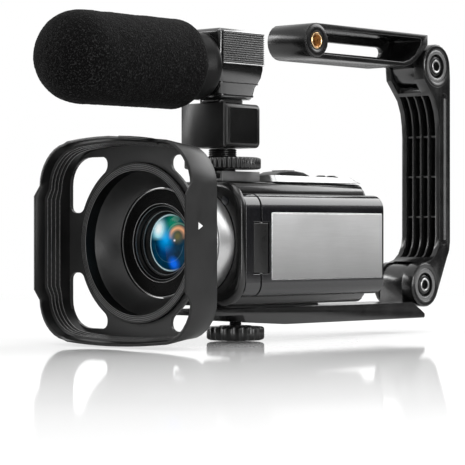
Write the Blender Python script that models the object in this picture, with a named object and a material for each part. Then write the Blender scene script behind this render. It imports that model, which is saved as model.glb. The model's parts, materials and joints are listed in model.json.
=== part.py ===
"""Compact camcorder with wide lens, square lens hood, shoe microphone and a
folding C bracket.  Metres, +Z up, lens looks to -Y, screen on the +X side.
Shapes are laid out in millimetres about the lens axis at the hood plate and
moved so that the frame origin is on the floor under the camera screw."""
import bpy
import bmesh
import math
from mathutils import Vector

MM = 0.001

# Driving sizes in millimetres.
LENS_H = 48.6          # lens axis above the floor
KNOB_Y = 69.0          # camera screw behind the hood plate
GAP = 0.3              # air left between pieces that touch

HOOD_SIDE = 12.5       # hood rim outside the ring, at the sides
HOOD_RISE = 10.0       # hood rim outside the ring, above and below
HOOD_FLARE = 2.2       # how far the walls lean out to the rim
HOOD_DEPTH = 21.0      # rim ahead of the plate
HOOD_WALL = 1.6
HOOD_PLATE = 2.0
HOOD_CORNER = 16.0
HOOD_CROWN = 3.6
HOOD_ARCH = 2.0        # extra rise of the top edge
RING_R = 38.5          # flange of the hood ring
DISH_Y = 15.5          # front face of the wide lens
LENS_R = 26.4          # wide lens face
BORE_R = 18.6          # wide lens front bore
GLASS_R = 16.5
KNURL_R = 25.3
SILVER_R = 27.0
SILVER_L = 13.7

BODY_L = 106.7         # length of the body shells
BODY_GRIP = 27.0       # shell reach to the hand side
BODY_SCREEN = 20.3     # shell reach to the screen side
BODY_TOP = 30.0
BODY_BASE = 31.0
WALL = 2.0
LCD_T = 9.0
LCD_L = 94.2
LCD_TOP = 24.2
LCD_BASE = 26.6
BATTERY_L = 43.0
STRAP_REACH = 15.0

MIC_Z = 86.5           # microphone axis above the lens axis
MIC_Y = 59.5           # shoe stem behind the hood plate
FOAM_R = 22.0
FOAM_L = 88.0
TUBE_R = 10.2
WHEEL_R = 19.0
MIC_HALF = 14.0
MIC_DEEP = 16.5        # half depth of the microphone body
BOX_HALF = 14.5
BOX_H = 21.6

PLATE_W = 14.0         # half width of the base plate
PLATE_T = 8.5
KNOB_R = 14.4
SCREW_R = 3.1
LOW_Y = 208.6          # lower hinge axis
LOW_Z = -23.3
UP_Y = 219.0           # upper hinge axis
UP_Z = 95.7
EAR_R = 12.0
GRIP_W = 13.0          # half width of the grip
GRIP_D = 9.6           # depth of the grip bar
GRIP_BACK = 4.4        # wall behind the grip's pockets
BOLT_R = 2.5
ARM_L = 111.5          # arm reach ahead of the upper hinge
ARM_H = 18.3
INSERT_R = 4.0

# Sizes that follow from the driving sizes.
HOOD_W = RING_R + HOOD_SIDE
HOOD_H = RING_R + HOOD_RISE
SILVER_Y = DISH_Y + 9.5
COVER_Y = SILVER_Y + SILVER_L + 0.4
BODY_Y = COVER_Y + 4.2
BODY_END = BODY_Y + BODY_L - 4.0
LCD_X = BODY_SCREEN + 0.7
LCD_OUT = LCD_X + LCD_T
HINGE_X = LCD_OUT - 2.0
HINGE_Y = BODY_Y + 13.1
SHOE_Z = BODY_TOP + GAP
FOOT_Z = SHOE_Z + 1.5
TOP_Z = BODY_TOP + GAP
PLATE_TOP = -BODY_BASE - 1.6
PLATE_LOW = PLATE_TOP - PLATE_T
KNUCKLE_A = -GRIP_W + 3.6
KNUCKLE_B = GRIP_W - 7.2

LOOKS = {
    "black": (0.012, 0.012, 0.014, 0.45, 0.0),
    "matt": (0.020, 0.020, 0.022, 0.75, 0.0),
    "foam": (0.010, 0.010, 0.011, 0.95, 0.0),
    "silver": (0.60, 0.61, 0.63, 0.32, 0.9),
    "chrome": (0.78, 0.79, 0.80, 0.12, 1.0),
    "gunmetal": (0.10, 0.105, 0.12, 0.35, 0.6),
    "glass": (0.03, 0.06, 0.16, 0.04, 0.0),
    "screen": (0.008, 0.009, 0.011, 0.12, 0.0),
    "board": (0.02, 0.16, 0.07, 0.55, 0.0),
    "brass": (0.70, 0.50, 0.20, 0.30, 1.0),
    "steel": (0.55, 0.55, 0.56, 0.30, 1.0),
    "rubber": (0.014, 0.014, 0.014, 0.85, 0.0),
    "fabric": (0.022, 0.022, 0.025, 0.90, 0.0),
    "grey": (0.09, 0.09, 0.095, 0.50, 0.0),
}

for old in list(bpy.data.objects):
    bpy.data.objects.remove(old, do_unlink=True)


def place(p):
    return Vector((p[0] * MM, (p[1] - KNOB_Y) * MM, (p[2] + LENS_H) * MM))


def close_mesh(name, bm):
    bmesh.ops.recalc_face_normals(bm, faces=bm.faces)
    bmesh.ops.triangulate(bm, faces=bm.faces)
    mesh = bpy.data.meshes.new(name)
    bm.to_mesh(mesh)
    bm.free()
    obj = bpy.data.objects.new(name, mesh)
    bpy.context.scene.collection.objects.link(obj)
    return obj


def loft(name, rings, loop=False):
    """Skin between rings of equal count; ends are capped unless it loops."""
    bm = bmesh.new()
    rows = []
    for ring in rings:
        rows.append([bm.verts.new(place(p)) for p in ring])
    count = len(rows[0])
    spans = len(rows) if loop else len(rows) - 1
    for k in range(spans):
        a = rows[k]
        b = rows[(k + 1) % len(rows)]
        for i in range(count):
            j = (i + 1) % count
            bm.faces.new((a[i], a[j], b[j], b[i]))
    if not loop:
        bm.faces.new(rows[0])
        bm.faces.new(list(reversed(rows[-1])))
    return close_mesh(name, bm)


def turn(axis, u, v, w):
    if axis == "X":
        return (w, u, v)
    if axis == "Y":
        return (u, w, v)
    return (u, v, w)


def prism(name, pts, axis, a, b):
    """Outline pushed along an axis from a to b."""
    low = [turn(axis, u, v, a) for u, v in pts]
    high = [turn(axis, u, v, b) for u, v in pts]
    return loft(name, [low, high])


def box(name, x0, x1, y0, y1, z0, z1, r=0.0):
    """Box with its four edges along Z cut by r."""
    if r <= 0.0:
        pts = [(x0, y0), (x1, y0), (x1, y1), (x0, y1)]
        return prism(name, pts, "Z", z0, z1)
    pts = round_rect((x1 - x0) / 2, (y1 - y0) / 2, r, 3, (x0 + x1) / 2, (y0 + y1) / 2)
    return prism(name, pts, "Z", z0, z1)


def round_rect(hw, hh, r, n, cu=0.0, cv=0.0):
    pts = []
    corners = ((1, 1, 0), (-1, 1, 90), (-1, -1, 180), (1, -1, 270))
    for su, sv, start in corners:
        for i in range(n + 1):
            a = math.radians(start + 90.0 * i / n)
            u = cu + su * (hw - r) + r * math.cos(a)
            v = cv + sv * (hh - r) + r * math.sin(a)
            pts.append((u, v))
    return pts


def soft_box(name, axis, hw, hh, r, cu, cv, a, b, e):
    """Rounded bar along an axis with both ends eased by e."""
    rings = []
    for w, inset in ((a, e), (a + e, 0.0), (b - e, 0.0), (b, e)):
        pts = round_rect(hw - inset, hh - inset, max(r - inset, 0.4), 4, cu, cv)
        rings.append([turn(axis, u, v, w) for u, v in pts])
    return loft(name, rings)


def lathe(name, prof, n, axis, cu, cv, loop=True, teeth=(), bite=0.0):
    """Turned piece: prof holds (radius, along); listed points carry teeth."""
    rings = []
    for k, (r, w) in enumerate(prof):
        ring = []
        for i in range(n):
            a = 2.0 * math.pi * i / n
            rr = r
            if k in teeth and i % 2:
                rr = r - bite
            ring.append(turn(axis, cu + rr * math.cos(a), cv + rr * math.sin(a), w))
        rings.append(ring)
    return loft(name, rings, loop)


def rod(name, axis, r, cu, cv, a, b, n=24):
    return lathe(name, [(r, a), (r, b)], n, axis, cu, cv, False)


def combine(obj, tool, how):
    mod = obj.modifiers.new("form", "BOOLEAN")
    mod.operation = how
    mod.solver = "EXACT"
    mod.object = tool
    graph = bpy.context.evaluated_depsgraph_get()
    mesh = bpy.data.meshes.new_from_object(obj.evaluated_get(graph))
    obj.modifiers.clear()
    obj.data = mesh
    bpy.data.objects.remove(tool, do_unlink=True)
    bm = bmesh.new()
    bm.from_mesh(mesh)
    bmesh.ops.remove_doubles(bm, verts=bm.verts, dist=0.000002)
    bmesh.ops.dissolve_degenerate(bm, edges=bm.edges, dist=0.000002)
    bmesh.ops.triangulate(bm, faces=bm.faces)
    bm.to_mesh(mesh)
    bm.free()


def cut(obj, tool):
    combine(obj, tool, "DIFFERENCE")


def add(obj, tool):
    combine(obj, tool, "UNION")


def settle(obj, look, pivot=None):
    """Give the piece its own finish and put its origin on its axis."""
    name = obj.name
    obj.data.name = name
    r, g, b, rough, metal = LOOKS[look]
    mat = bpy.data.materials.new(name + "_finish")
    mat.use_nodes = True
    shader = mat.node_tree.nodes["Principled BSDF"]
    shader.inputs["Base Color"].default_value = (r, g, b, 1.0)
    shader.inputs["Roughness"].default_value = rough
    shader.inputs["Metallic"].default_value = metal
    mat.diffuse_color = (r, g, b, 1.0)
    obj.data.materials.clear()
    obj.data.materials.append(mat)
    if pivot is not None:
        at = place(pivot)
        for vert in obj.data.vertices:
            vert.co = vert.co - at
        obj.location = at
    return obj


# Lens hood: flared wall with baffle ribs, plate with corner windows.
def hood_outline(inset, y):
    lean = HOOD_FLARE * min(max(-y / HOOD_DEPTH, 0.0), 1.0)
    hw = HOOD_W - HOOD_FLARE + lean - inset
    hb = HOOD_H - HOOD_FLARE + lean - inset - HOOD_CROWN
    r = HOOD_CORNER - inset
    edge = hb - r
    flat = hw - r
    pts = []
    sides = ((1, 1, 0), (-1, 1, 90), (-1, -1, 180), (1, -1, 270))
    for su, sv, start in sides:
        if start in (0, 180):
            for z in (-(edge - 5.0), edge - 5.0):
                pts.append((su * hw, sv * z, 0.0))
        else:
            for f in (1.0, 0.5, 0.0, -0.5, -1.0):
                x = -su * f * (flat - 6.0)
                pts.append((x, sv * hb, 0.0))
        for i in range(7):
            a = math.radians(start + 15.0 * i)
            pts.append((su * flat + r * math.cos(a), sv * edge + r * math.sin(a), 1.0))
    ring = []
    for x, z, w in pts:
        crown = HOOD_CROWN + (HOOD_ARCH if z > 0.0 else 0.0)
        rise = crown * abs(z) / hb * (1.0 - (x / hw) ** 2)
        back = 1.0 - 0.18 * w if y < 0.0 else 1.0
        ring.append((x, y * back, math.copysign(abs(z) + rise, z)))
    return ring


wall_line = [(0.0, HOOD_PLATE), (0.0, -HOOD_DEPTH + 0.7), (0.6, -HOOD_DEPTH)]
wall_line.append((HOOD_WALL, -HOOD_DEPTH))
for part in (0.78, 0.54, 0.30):
    spot = -HOOD_DEPTH * part
    wall_line.append((HOOD_WALL, spot - 1.1))
    wall_line.append((HOOD_WALL + 1.2, spot))
    wall_line.append((HOOD_WALL, spot + 0.7))
wall_line.append((HOOD_WALL, HOOD_PLATE))
hood = loft("hood_frame", [hood_outline(i, y) for i, y in wall_line], True)
plate_front = [(x, 0.0, z) for x, y, z in hood_outline(HOOD_WALL / 2, 0.0)]
plate_back = [(x, HOOD_PLATE - 0.1, z) for x, y, z in hood_outline(HOOD_WALL / 2, 0.0)]
add(hood, loft("plate", [plate_front, plate_back]))
RING_NECK = RING_R - 1.5
cut(hood, rod("hole", "Y", RING_NECK + GAP, 0.0, 0.0, -1.0, HOOD_PLATE + 1.0, 60))
win_r = RING_R + 0.2 * HOOD_SIDE
win_x = HOOD_W - HOOD_FLARE - HOOD_WALL - 0.6
win_z = HOOD_H - HOOD_FLARE - HOOD_CROWN - 1.2
bridge_x = 0.55 * RING_R
bridge_z = 0.38 * RING_R
win_c = 0.85 * HOOD_CORNER
ease = 2.4
for sx in (1, -1):
    for sz in (1, -1):
        first = math.acos(bridge_x / win_r)
        last = math.asin(bridge_z / win_r)
        pts = []
        for i in range(8):
            a = first + (last - first) * i / 7
            pts.append((win_r * math.cos(a), win_r * math.sin(a)))
        pts.append((win_x - ease, bridge_z))
        pts.append((win_x, bridge_z + ease))
        for i in range(6):
            a = math.radians(18.0 * i)
            pts.append((win_x - win_c + win_c * math.cos(a), win_z - win_c + win_c * math.sin(a)))
        pts.append((bridge_x + ease, win_z))
        pts.append((bridge_x, win_z - ease))
        pts = [(sx * x, sz * z) for x, z in pts]
        cut(hood, prism("window", pts, "Y", -1.0, HOOD_PLATE + 1.0))
settle(hood, "matt")

# Hood ring and dish, screwed to the front of the wide lens.
dish_in = LENS_R + GAP
step_ring = lathe("hood_step_ring", [
    (RING_R, -1.6), (RING_R, -GAP), (RING_NECK, -GAP), (RING_NECK, HOOD_PLATE + 1.0),
    (RING_NECK - 0.8, HOOD_PLATE + 2.0), (dish_in + 1.9, DISH_Y - 0.7),
    (dish_in + 1.9, DISH_Y + 1.1), (dish_in, DISH_Y + 1.1), (dish_in, DISH_Y - 0.9),
    (RING_NECK - 2.4, 3.2), (RING_NECK - 1.0, 1.5), (RING_NECK - 1.0, 0.4),
    (RING_NECK - 0.2, 0.2), (RING_NECK - 0.2, -1.6)], 60, "Y", 0.0, 0.0)
settle(step_ring, "black")

# Wide lens: barrel with grooved face and knurl, ring and front element.
face = [(LENS_R, DISH_Y + 0.5), (LENS_R - 0.5, DISH_Y)]
groove = (LENS_R - BORE_R - 1.6) / 3.0
for i in range(3):
    edge_r = LENS_R - 0.9 - groove * i
    face.append((edge_r - 0.25 * groove, DISH_Y))
    face.append((edge_r - 0.55 * groove, DISH_Y + 0.5))
    face.append((edge_r - 0.85 * groove, DISH_Y))
face.append((BORE_R, DISH_Y))
seat = GLASS_R + GAP
tail = BORE_R
back_face = [
    (BORE_R, DISH_Y + 7.0), (seat, DISH_Y + 7.0), (seat, DISH_Y + 12.5),
    (GLASS_R - 2.0, DISH_Y + 12.5), (GLASS_R - 2.0, DISH_Y + 17.5),
    (tail, DISH_Y + 17.5), (tail, DISH_Y + 9.1), (KNURL_R - 1.0, DISH_Y + 9.1),
    (KNURL_R, DISH_Y + 8.3), (KNURL_R, DISH_Y + 2.2), (LENS_R, DISH_Y + 1.6)]
knurled = len(face) + 8
barrel = lathe("wide_lens_barrel", face + back_face, 52, "Y", 0.0, 0.0, True,
               (knurled, knurled + 1), 0.8)
settle(barrel, "black")
funnel_in = GLASS_R - 2.5
settle(lathe("lens_retaining_ring", [
    (BORE_R - GAP, DISH_Y + 0.7), (BORE_R - GAP, DISH_Y + 6.7), (funnel_in, DISH_Y + 6.7),
    (funnel_in, DISH_Y + 5.6), (funnel_in + 1.2, DISH_Y + 5.2), (funnel_in + 1.2, DISH_Y + 3.6),
    (funnel_in + 2.6, DISH_Y + 3.2), (funnel_in + 2.6, DISH_Y + 1.6),
    (BORE_R - 1.0, DISH_Y + 0.7)], 40, "Y", 0.0, 0.0), "black")
dome = []
for i in range(6):
    a = i / 5.0
    rr = 1.0 + (GLASS_R - 3.6) * a
    dome.append((rr, DISH_Y + 4.4 + 2.4 * a * a))
dome.append((GLASS_R - 2.2, DISH_Y + 7.2))
dome.append((GLASS_R, DISH_Y + 7.2))
dome.append((GLASS_R, DISH_Y + 12.2))
settle(lathe("wide_lens_glass", dome, 40, "Y", 0.0, 0.0, False), "glass")
TUBE_OUT = SILVER_R - 3.8
settle(lathe("silver_adapter_ring", [
    (SILVER_R - 0.8, SILVER_Y), (SILVER_R, SILVER_Y + 0.8), (SILVER_R, SILVER_Y + SILVER_L - 0.6),
    (SILVER_R - 0.6, SILVER_Y + SILVER_L), (TUBE_OUT + 0.7, SILVER_Y + SILVER_L),
    (TUBE_OUT + 0.7, SILVER_Y + 9.0), (tail + GAP, SILVER_Y + 9.0),
    (tail + GAP, SILVER_Y)], 52, "Y", 0.0, 0.0), "silver")

# Camcorder body: covers and two half shells round the lens and the boards.
LENS_Y = SILVER_Y + 9.4
settle(lathe("lens_tube", [
    (TUBE_OUT, LENS_Y), (TUBE_OUT, COVER_Y + 3.6), (15.5, COVER_Y + 3.6), (15.5, LENS_Y + 60.6),
    (13.5, LENS_Y + 60.6), (13.5, LENS_Y + 6.5), (TUBE_OUT - 2.9, LENS_Y + 6.5),
    (TUBE_OUT - 2.9, LENS_Y)], 36, "Y", 0.0, 0.0), "black")
own = TUBE_OUT - 3.2
settle(lathe("lens_front_element", [
    (3.0, LENS_Y + 0.6), (0.5 * own, LENS_Y + 1.0), (0.8 * own, LENS_Y + 1.8),
    (own, LENS_Y + 3.0), (own, LENS_Y + 6.2)], 32, "Y", 0.0, 0.0, False), "glass")
mid_x = (LCD_OUT - BODY_GRIP - 1.0) / 2
half_x = (LCD_OUT + BODY_GRIP + 1.0) / 2
mid_z = (BODY_TOP - BODY_BASE) / 2
half_z = (BODY_TOP + BODY_BASE) / 2
cover_rings = []
for y, inset, r in ((0.0, 2.6, 13.0), (0.5, 1.2, 13.5), (1.6, 0.2, 13.5), (3.9, 0.0, 13.0)):
    pts = round_rect(half_x - inset, half_z - inset, r, 6, mid_x, mid_z)
    cover_rings.append([(x, COVER_Y + y, z) for x, z in pts])
cover = loft("front_cover", cover_rings)
cut(cover, rod("hole", "Y", TUBE_OUT + 0.4, 0.0, 0.0, COVER_Y - 2.0, COVER_Y + 6.0, 48))
settle(cover, "black")

SPLIT = -8.0


def half_shell(side, r):
    """Channel section of one half shell, corner radius r."""
    s = 1.0 if side > 0 else -1.0
    start = SPLIT + s * GAP / 2
    top = []
    for i in range(5):
        a = math.radians(90.0 - 22.5 * i)
        top.append((math.cos(a), math.sin(a)))
    outer = []
    inner = []
    for reach, up, low, rr, line in (
            (side, BODY_TOP, BODY_BASE, r, outer),
            (side - s * WALL, BODY_TOP - WALL, BODY_BASE - WALL, r - WALL, inner)):
        line.append((start, up))
        for c, q in top:
            line.append((reach - s * rr + s * rr * c, up - rr + rr * q))
        for c, q in reversed(top):
            line.append((reach - s * rr + s * rr * c, -low + rr - rr * q))
        line.append((start, -low))
    return outer + list(reversed(inner))


screen_shell = prism("body_shell_screen_side", half_shell(BODY_SCREEN, 5.0), "Y", BODY_Y, BODY_END)
cut(screen_shell, rod("hole", "Z", 5.3, 0.0, KNOB_Y, -BODY_BASE - 2.0, -BODY_BASE + 4.0))
settle(screen_shell, "gunmetal")
settle(prism("body_shell_grip_side", half_shell(-BODY_GRIP, 12.0), "Y", BODY_Y, BODY_END), "black")
settle(lathe("tripod_bush", [
    (5.0, -BODY_BASE + 0.2), (5.0, -BODY_BASE + 2.4), (6.6, -BODY_BASE + 2.4),
    (6.6, -BODY_BASE + 6.5), (SCREW_R + GAP, -BODY_BASE + 6.5),
    (SCREW_R + GAP, -BODY_BASE + 0.2)], 24, "Z", 0.0, KNOB_Y), "brass")
settle(box("sensor_board", -13.5, 13.5, LENS_Y + 61.0, LENS_Y + 62.6, -13.5, 13.5), "board")
settle(box("main_board", BODY_SCREEN - 4.0, BODY_SCREEN - 2.6, BODY_Y + 10.0, BODY_Y + 62.0,
           -22.0, 22.0), "board")
core_x = (BODY_SCREEN - BODY_GRIP) / 2
core_w = (BODY_SCREEN + BODY_GRIP) / 2
rear = BODY_END + GAP
rear_rings = []
for y, inset in ((0.0, 0.0), (2.0, 0.2), (3.2, 1.4)):
    pts = round_rect(core_w - inset, half_z - inset, 8.0, 5, core_x, mid_z)
    rear_rings.append([(x, rear + y, z) for x, z in pts])
rear_cover = loft("rear_cover", rear_rings)
bat_a = -BODY_GRIP + 6.5
bat_b = BODY_SCREEN - 8.5
cut(rear_cover, box("bay", bat_a - 0.4, bat_b + 0.4, rear - 2.0, rear + 6.0, -19.4, 19.4))
rec_x = BODY_SCREEN - 4.0
cut(rear_cover, rod("hole", "Y", 2.7, rec_x, 8.0, rear - 2.0, rear + 6.0))
latch_x = (bat_a + bat_b) / 2
cut(rear_cover, box("slot", latch_x - 7.3, latch_x + 7.3, rear + 1.6, rear + 6.0, -26.3, -21.7))
settle(rear_cover, "black")
settle(soft_box("battery_pack", "Y", (bat_b - bat_a) / 2, 19.0, 3.0, latch_x, 0.0,
                rear + 6.4 - BATTERY_L, rear + 6.4, 1.0), "grey")
settle(lathe("record_button", [(2.4, rear + 0.9), (2.4, rear + 4.0), (1.8, rear + 4.4)], 20, "Y",
             rec_x, 8.0, False), "silver", (rec_x, rear + 4.4, 8.0))
settle(box("battery_latch", latch_x - 4.0, latch_x + 4.0, rear + 1.9, rear + 4.2, -25.9, -22.1),
       "grey", (latch_x, rear + 3.0, -24.0))

top_y = MIC_Y + 19.0
top_cover = prism("top_cover", [
    (top_y, TOP_Z), (rear + 2.8, TOP_Z), (rear + 2.8, TOP_Z + 0.7), (rear - 8.0, TOP_Z + 2.9),
    (top_y + 1.0, TOP_Z + 2.9), (top_y, TOP_Z + 2.1)], "X", -BODY_GRIP + 12.5, BODY_SCREEN - 2.8)
top_l = rear - top_y
zoom_y = top_y + 0.28 * top_l
zoom_h = 0.206 * top_l
cut(top_cover, box("pocket", 0.6, 13.4, zoom_y - zoom_h - 2.6, zoom_y + zoom_h + 2.6,
                   TOP_Z + 1.4, TOP_Z + 6.0))
btn_x = 9.0
btn_y = (top_y + 0.685 * top_l, top_y + 0.81 * top_l)
for y in btn_y:
    cut(top_cover, rod("hole", "Z", 2.8, btn_x, y, TOP_Z - 2.0, TOP_Z + 6.0))
settle(top_cover, "silver")
settle(prism("zoom_lever", [
    (zoom_y - zoom_h, TOP_Z + 1.8), (zoom_y + zoom_h, TOP_Z + 1.8), (zoom_y + zoom_h, TOP_Z + 3.6),
    (zoom_y + 0.64 * zoom_h, TOP_Z + 5.2), (zoom_y + 0.2 * zoom_h, TOP_Z + 5.8),
    (zoom_y - 0.2 * zoom_h, TOP_Z + 5.8), (zoom_y - 0.64 * zoom_h, TOP_Z + 5.2),
    (zoom_y - zoom_h, TOP_Z + 3.6)], "X", 1.0, 13.0),
       "silver", (7.0, zoom_y, TOP_Z + 1.8))
for name, y in zip(("photo_button", "mode_button"), btn_y):
    settle(lathe(name, [(2.4, TOP_Z + 0.9), (2.4, TOP_Z + 3.7), (1.9, TOP_Z + 4.1)], 20, "Z",
                 btn_x, y, False), "chrome", (btn_x, y, TOP_Z + 4.1))
settle(prism("accessory_shoe", [
    (-10.5, SHOE_Z), (10.5, SHOE_Z), (10.5, SHOE_Z + 4.9), (6.9, SHOE_Z + 4.9), (6.9, SHOE_Z + 3.7),
    (9.2, SHOE_Z + 3.7), (9.2, SHOE_Z + 1.2), (-9.2, SHOE_Z + 1.2), (-9.2, SHOE_Z + 3.7),
    (-6.9, SHOE_Z + 3.7), (-6.9, SHOE_Z + 4.9), (-10.5, SHOE_Z + 4.9)], "Y",
             MIC_Y - 12.0, MIC_Y + 16.0), "steel")


# Folding screen: housing and hinge block stay, the panel swings about Z.
def panel_section(xi, xo):
    t = (xo - xi) / LCD_T
    up = LCD_TOP
    low = -LCD_BASE
    pts = [
        (9.0, up - 8.4), (8.65, up - 6.4), (7.7, up - 3.8), (6.0, up - 1.5), (4.4, up - 0.3),
        (3.0, up), (0.8, up), (0.0, up - 0.8), (0.0, low + 0.8), (0.8, low), (3.0, low),
        (4.4, low + 0.3), (6.0, low + 1.5), (7.7, low + 3.8), (8.65, low + 6.4), (9.0, low + 7.4)]
    return [(xi + x * t * LCD_T / 9.0, z) for x, z in pts]


housing = prism("hinge_housing", panel_section(BODY_SCREEN + GAP, LCD_OUT), "Y", BODY_Y, HINGE_Y - 2.3)
blk_top = LCD_TOP - 14.6
blk_low = -LCD_BASE + 12.0
cut(housing, box("notch", BODY_SCREEN + 1.5, LCD_OUT + 5.0, HINGE_Y - 7.4, HINGE_Y + 5.0,
                 blk_low - GAP, blk_top + GAP))
settle(housing, "gunmetal")
block = box("lcd_hinge_block", BODY_SCREEN + 1.8, LCD_OUT - 0.2, HINGE_Y - 7.1, HINGE_Y + 3.6,
            blk_low, blk_top)
PIN_R = 0.7
cut(block, rod("hole", "Z", PIN_R + 0.2, HINGE_X, HINGE_Y, blk_low - 2.0, blk_top + 2.0, 12))
settle(block, "black")
settle(rod("lcd_hinge_pin", "Z", PIN_R, HINGE_X, HINGE_Y, blk_low - 7.0, blk_top + 7.0, 12), "steel")
lcd_y = HINGE_Y - 1.9
lcd_end = lcd_y + LCD_L + 1.9
stations = (
    (lcd_y, HINGE_X - 0.6, HINGE_X + 0.6), (lcd_y + 0.5, HINGE_X - 1.4, HINGE_X + 1.4),
    (HINGE_Y, HINGE_X - 3.6, LCD_OUT), (HINGE_Y + 2.2, LCD_X, LCD_OUT),
    (lcd_end - 1.0, LCD_X, LCD_OUT), (lcd_end, LCD_X + 0.6, LCD_OUT - 0.8))
panel = loft("lcd_shell", [[(x, y, z) for x, z in panel_section(xi, xo)] for y, xi, xo in stations])
cut(panel, box("notch", LCD_X - 5.0, LCD_OUT + 5.0, lcd_y - 5.0, HINGE_Y + 4.0,
               blk_low - 0.5, blk_top + 0.5))
plate_a = HINGE_Y + 5.6
plate_b = lcd_end - 1.3
plate_up = LCD_TOP - 9.4
plate_dn = -LCD_BASE + 8.4
cut(panel, box("pocket", LCD_OUT - 1.0, LCD_OUT + 5.0, plate_a - GAP, plate_b + GAP,
               plate_dn - GAP, plate_up + GAP))
cut(panel, box("pocket", LCD_X - 5.0, LCD_X + 1.6, HINGE_Y + 9.0, lcd_end - 5.0,
               -LCD_BASE + 4.4, LCD_TOP - 4.4))
cut(panel, rod("hole", "Z", PIN_R + 0.2, HINGE_X, HINGE_Y, blk_low - 7.4, blk_top + 7.4, 12))
swing = (HINGE_X, HINGE_Y, 0.0)
settle(panel, "gunmetal", swing)
settle(box("lcd_cover_plate", LCD_OUT - 0.7, LCD_OUT + 0.2, plate_a, plate_b, plate_dn, plate_up),
       "silver", swing)
settle(box("lcd_screen", LCD_X + 0.1, LCD_X + 1.3, HINGE_Y + 9.3, lcd_end - 5.3,
           -LCD_BASE + 4.7, LCD_TOP - 4.7), "screen", swing)

# Hand strap and its two lugs.
for name, y0 in (("strap_lug_front", BODY_Y + 0.7), ("strap_lug_rear", BODY_END - 4.4)):
    settle(box(name, -BODY_GRIP - 6.0, -BODY_GRIP - GAP, y0, y0 + 3.7, -14.0, 14.0), "black")
strap_a = BODY_Y + 4.7
strap_b = BODY_END - 4.7
outside = []
inside = []
for i in range(13):
    f = i / 12.0
    bulge = STRAP_REACH * math.sin(math.pi * f) ** 0.8
    y = strap_a + (strap_b - strap_a) * f
    outside.append((-BODY_GRIP - 4.6 - bulge, y))
    inside.append((-BODY_GRIP - 1.3 - bulge, y))
settle(prism("hand_strap", outside + list(reversed(inside)), "Z", -16.0, 16.0), "fabric")

# Shoe microphone: foot, lock wheel, powered box, body, tube and windscreen.
foot = box("mic_foot", -8.9, 8.9, MIC_Y - 9.0, MIC_Y + 9.0, FOOT_Z, FOOT_Z + 1.9)
STEM_R = 6.4
box_z = BODY_TOP + 16.8
add(foot, rod("stem", "Z", STEM_R, 0.0, MIC_Y, FOOT_Z + 1.0, box_z - 0.4))
settle(foot, "black")
wheel_z = SHOE_Z + 6.0
settle(lathe("mic_lock_wheel", [
    (WHEEL_R - 1.2, wheel_z), (WHEEL_R, wheel_z + 0.8), (WHEEL_R, wheel_z + 5.0),
    (WHEEL_R - 1.2, wheel_z + 5.8), (STEM_R + GAP, wheel_z + 5.8),
    (STEM_R + GAP, wheel_z)], 48, "Z", 0.0, MIC_Y, True, (1, 2), 0.7),
       "black", (0.0, MIC_Y, wheel_z))
box_a = MIC_Y - 13.1
box_b = MIC_Y + 11.9
box_top = box_z + BOX_H
box_mid = box_z + BOX_H / 2
case = soft_box("mic_power_box", "Y", BOX_HALF, BOX_H / 2, 2.6, 0.0, box_mid, box_a, box_b, 0.6)
cut(case, box("room", -BOX_HALF + WALL, BOX_HALF - WALL, box_a - 3.0, box_b - WALL,
              box_z + WALL, box_top - WALL))
slot_z = box_mid
cut(case, box("slot", -6.3, 6.3, box_b - 1.0, box_b + 3.0, slot_z - 2.3, slot_z + 2.3))
settle(case, "black")
cap_line = [(BOX_HALF, box_a - GAP)]
for i in range(15):
    f = 1.0 - i / 7.0
    cap_line.append((f * (BOX_HALF - 0.3), box_a - 4.0 + 2.2 * abs(f) ** 2.2))
cap_line.append((-BOX_HALF, box_a - GAP))
settle(prism("mic_front_cap", cap_line, "Z", box_z, box_top), "black")
settle(box("mic_switch", -3.0, 3.0, box_b - 0.7, box_b + 1.2, slot_z - 1.9, slot_z + 1.9),
       "grey", (0.0, box_b, slot_z))
settle(rod("mic_cell", "Z", 9.0, 0.0, MIC_Y - 1.0, box_z + WALL + GAP, box_z + WALL + 3.5, 24), "steel")
neck_z = box_top + GAP
body_y = MIC_Y - 1.0
mic_rings = []
deep = MIC_DEEP
for z, hw, hd, r in (
        (neck_z, 7.5, 10.0, 4.0), (neck_z + 1.9, 7.5, 10.0, 4.0), (neck_z + 2.0, 10.6, deep - 4.1, 4.0),
        (neck_z + 4.3, 11.6, deep - 3.5, 4.0), (neck_z + 8.1, 12.4, deep - 2.9, 4.0),
        (neck_z + 10.0, 12.9, deep - 1.7, 3.5), (neck_z + 13.0, MIC_HALF - 0.4, deep - 0.4, 3.0),
        (neck_z + 17.0, MIC_HALF, deep, 2.0), (MIC_Z + 16.8, MIC_HALF, deep, 2.0),
        (MIC_Z + 18.4, MIC_HALF - 1.5, deep - 1.5, 1.0)):
    mic_rings.append([(x, y, z) for x, y in round_rect(hw, hd, r, 3, 0.0, body_y)])
mic_body = loft("mic_body", mic_rings)
front_y = body_y - MIC_DEEP
cut(mic_body, rod("hole", "Y", TUBE_R + GAP, 0.0, MIC_Z, front_y - 3.0, front_y + 10.0, 32))
settle(mic_body, "black")
for name, s in (("mic_rib_panel_screen_side", 1), ("mic_rib_panel_grip_side", -1)):
    ribs = [(s * (MIC_HALF + GAP), MIC_Z + 1.7)]
    for i in range(7):
        z = MIC_Z + 1.7 + 2.15 * i
        ribs.append((s * (MIC_HALF + 1.3), z + 0.1))
        ribs.append((s * (MIC_HALF + 1.3), z + 1.1))
        ribs.append((s * (MIC_HALF + 0.8), z + 1.3))
        ribs.append((s * (MIC_HALF + 0.8), z + 1.9))
    ribs.append((s * (MIC_HALF + GAP), MIC_Z + 1.7 + 2.15 * 7))
    settle(prism(name, ribs, "Y", body_y - MIC_DEEP + 1.5, body_y + MIC_DEEP - 1.5), "black")
tube_in = TUBE_R - 1.4
foam_end = front_y - 13.5
foam_a = foam_end - FOAM_L
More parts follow.
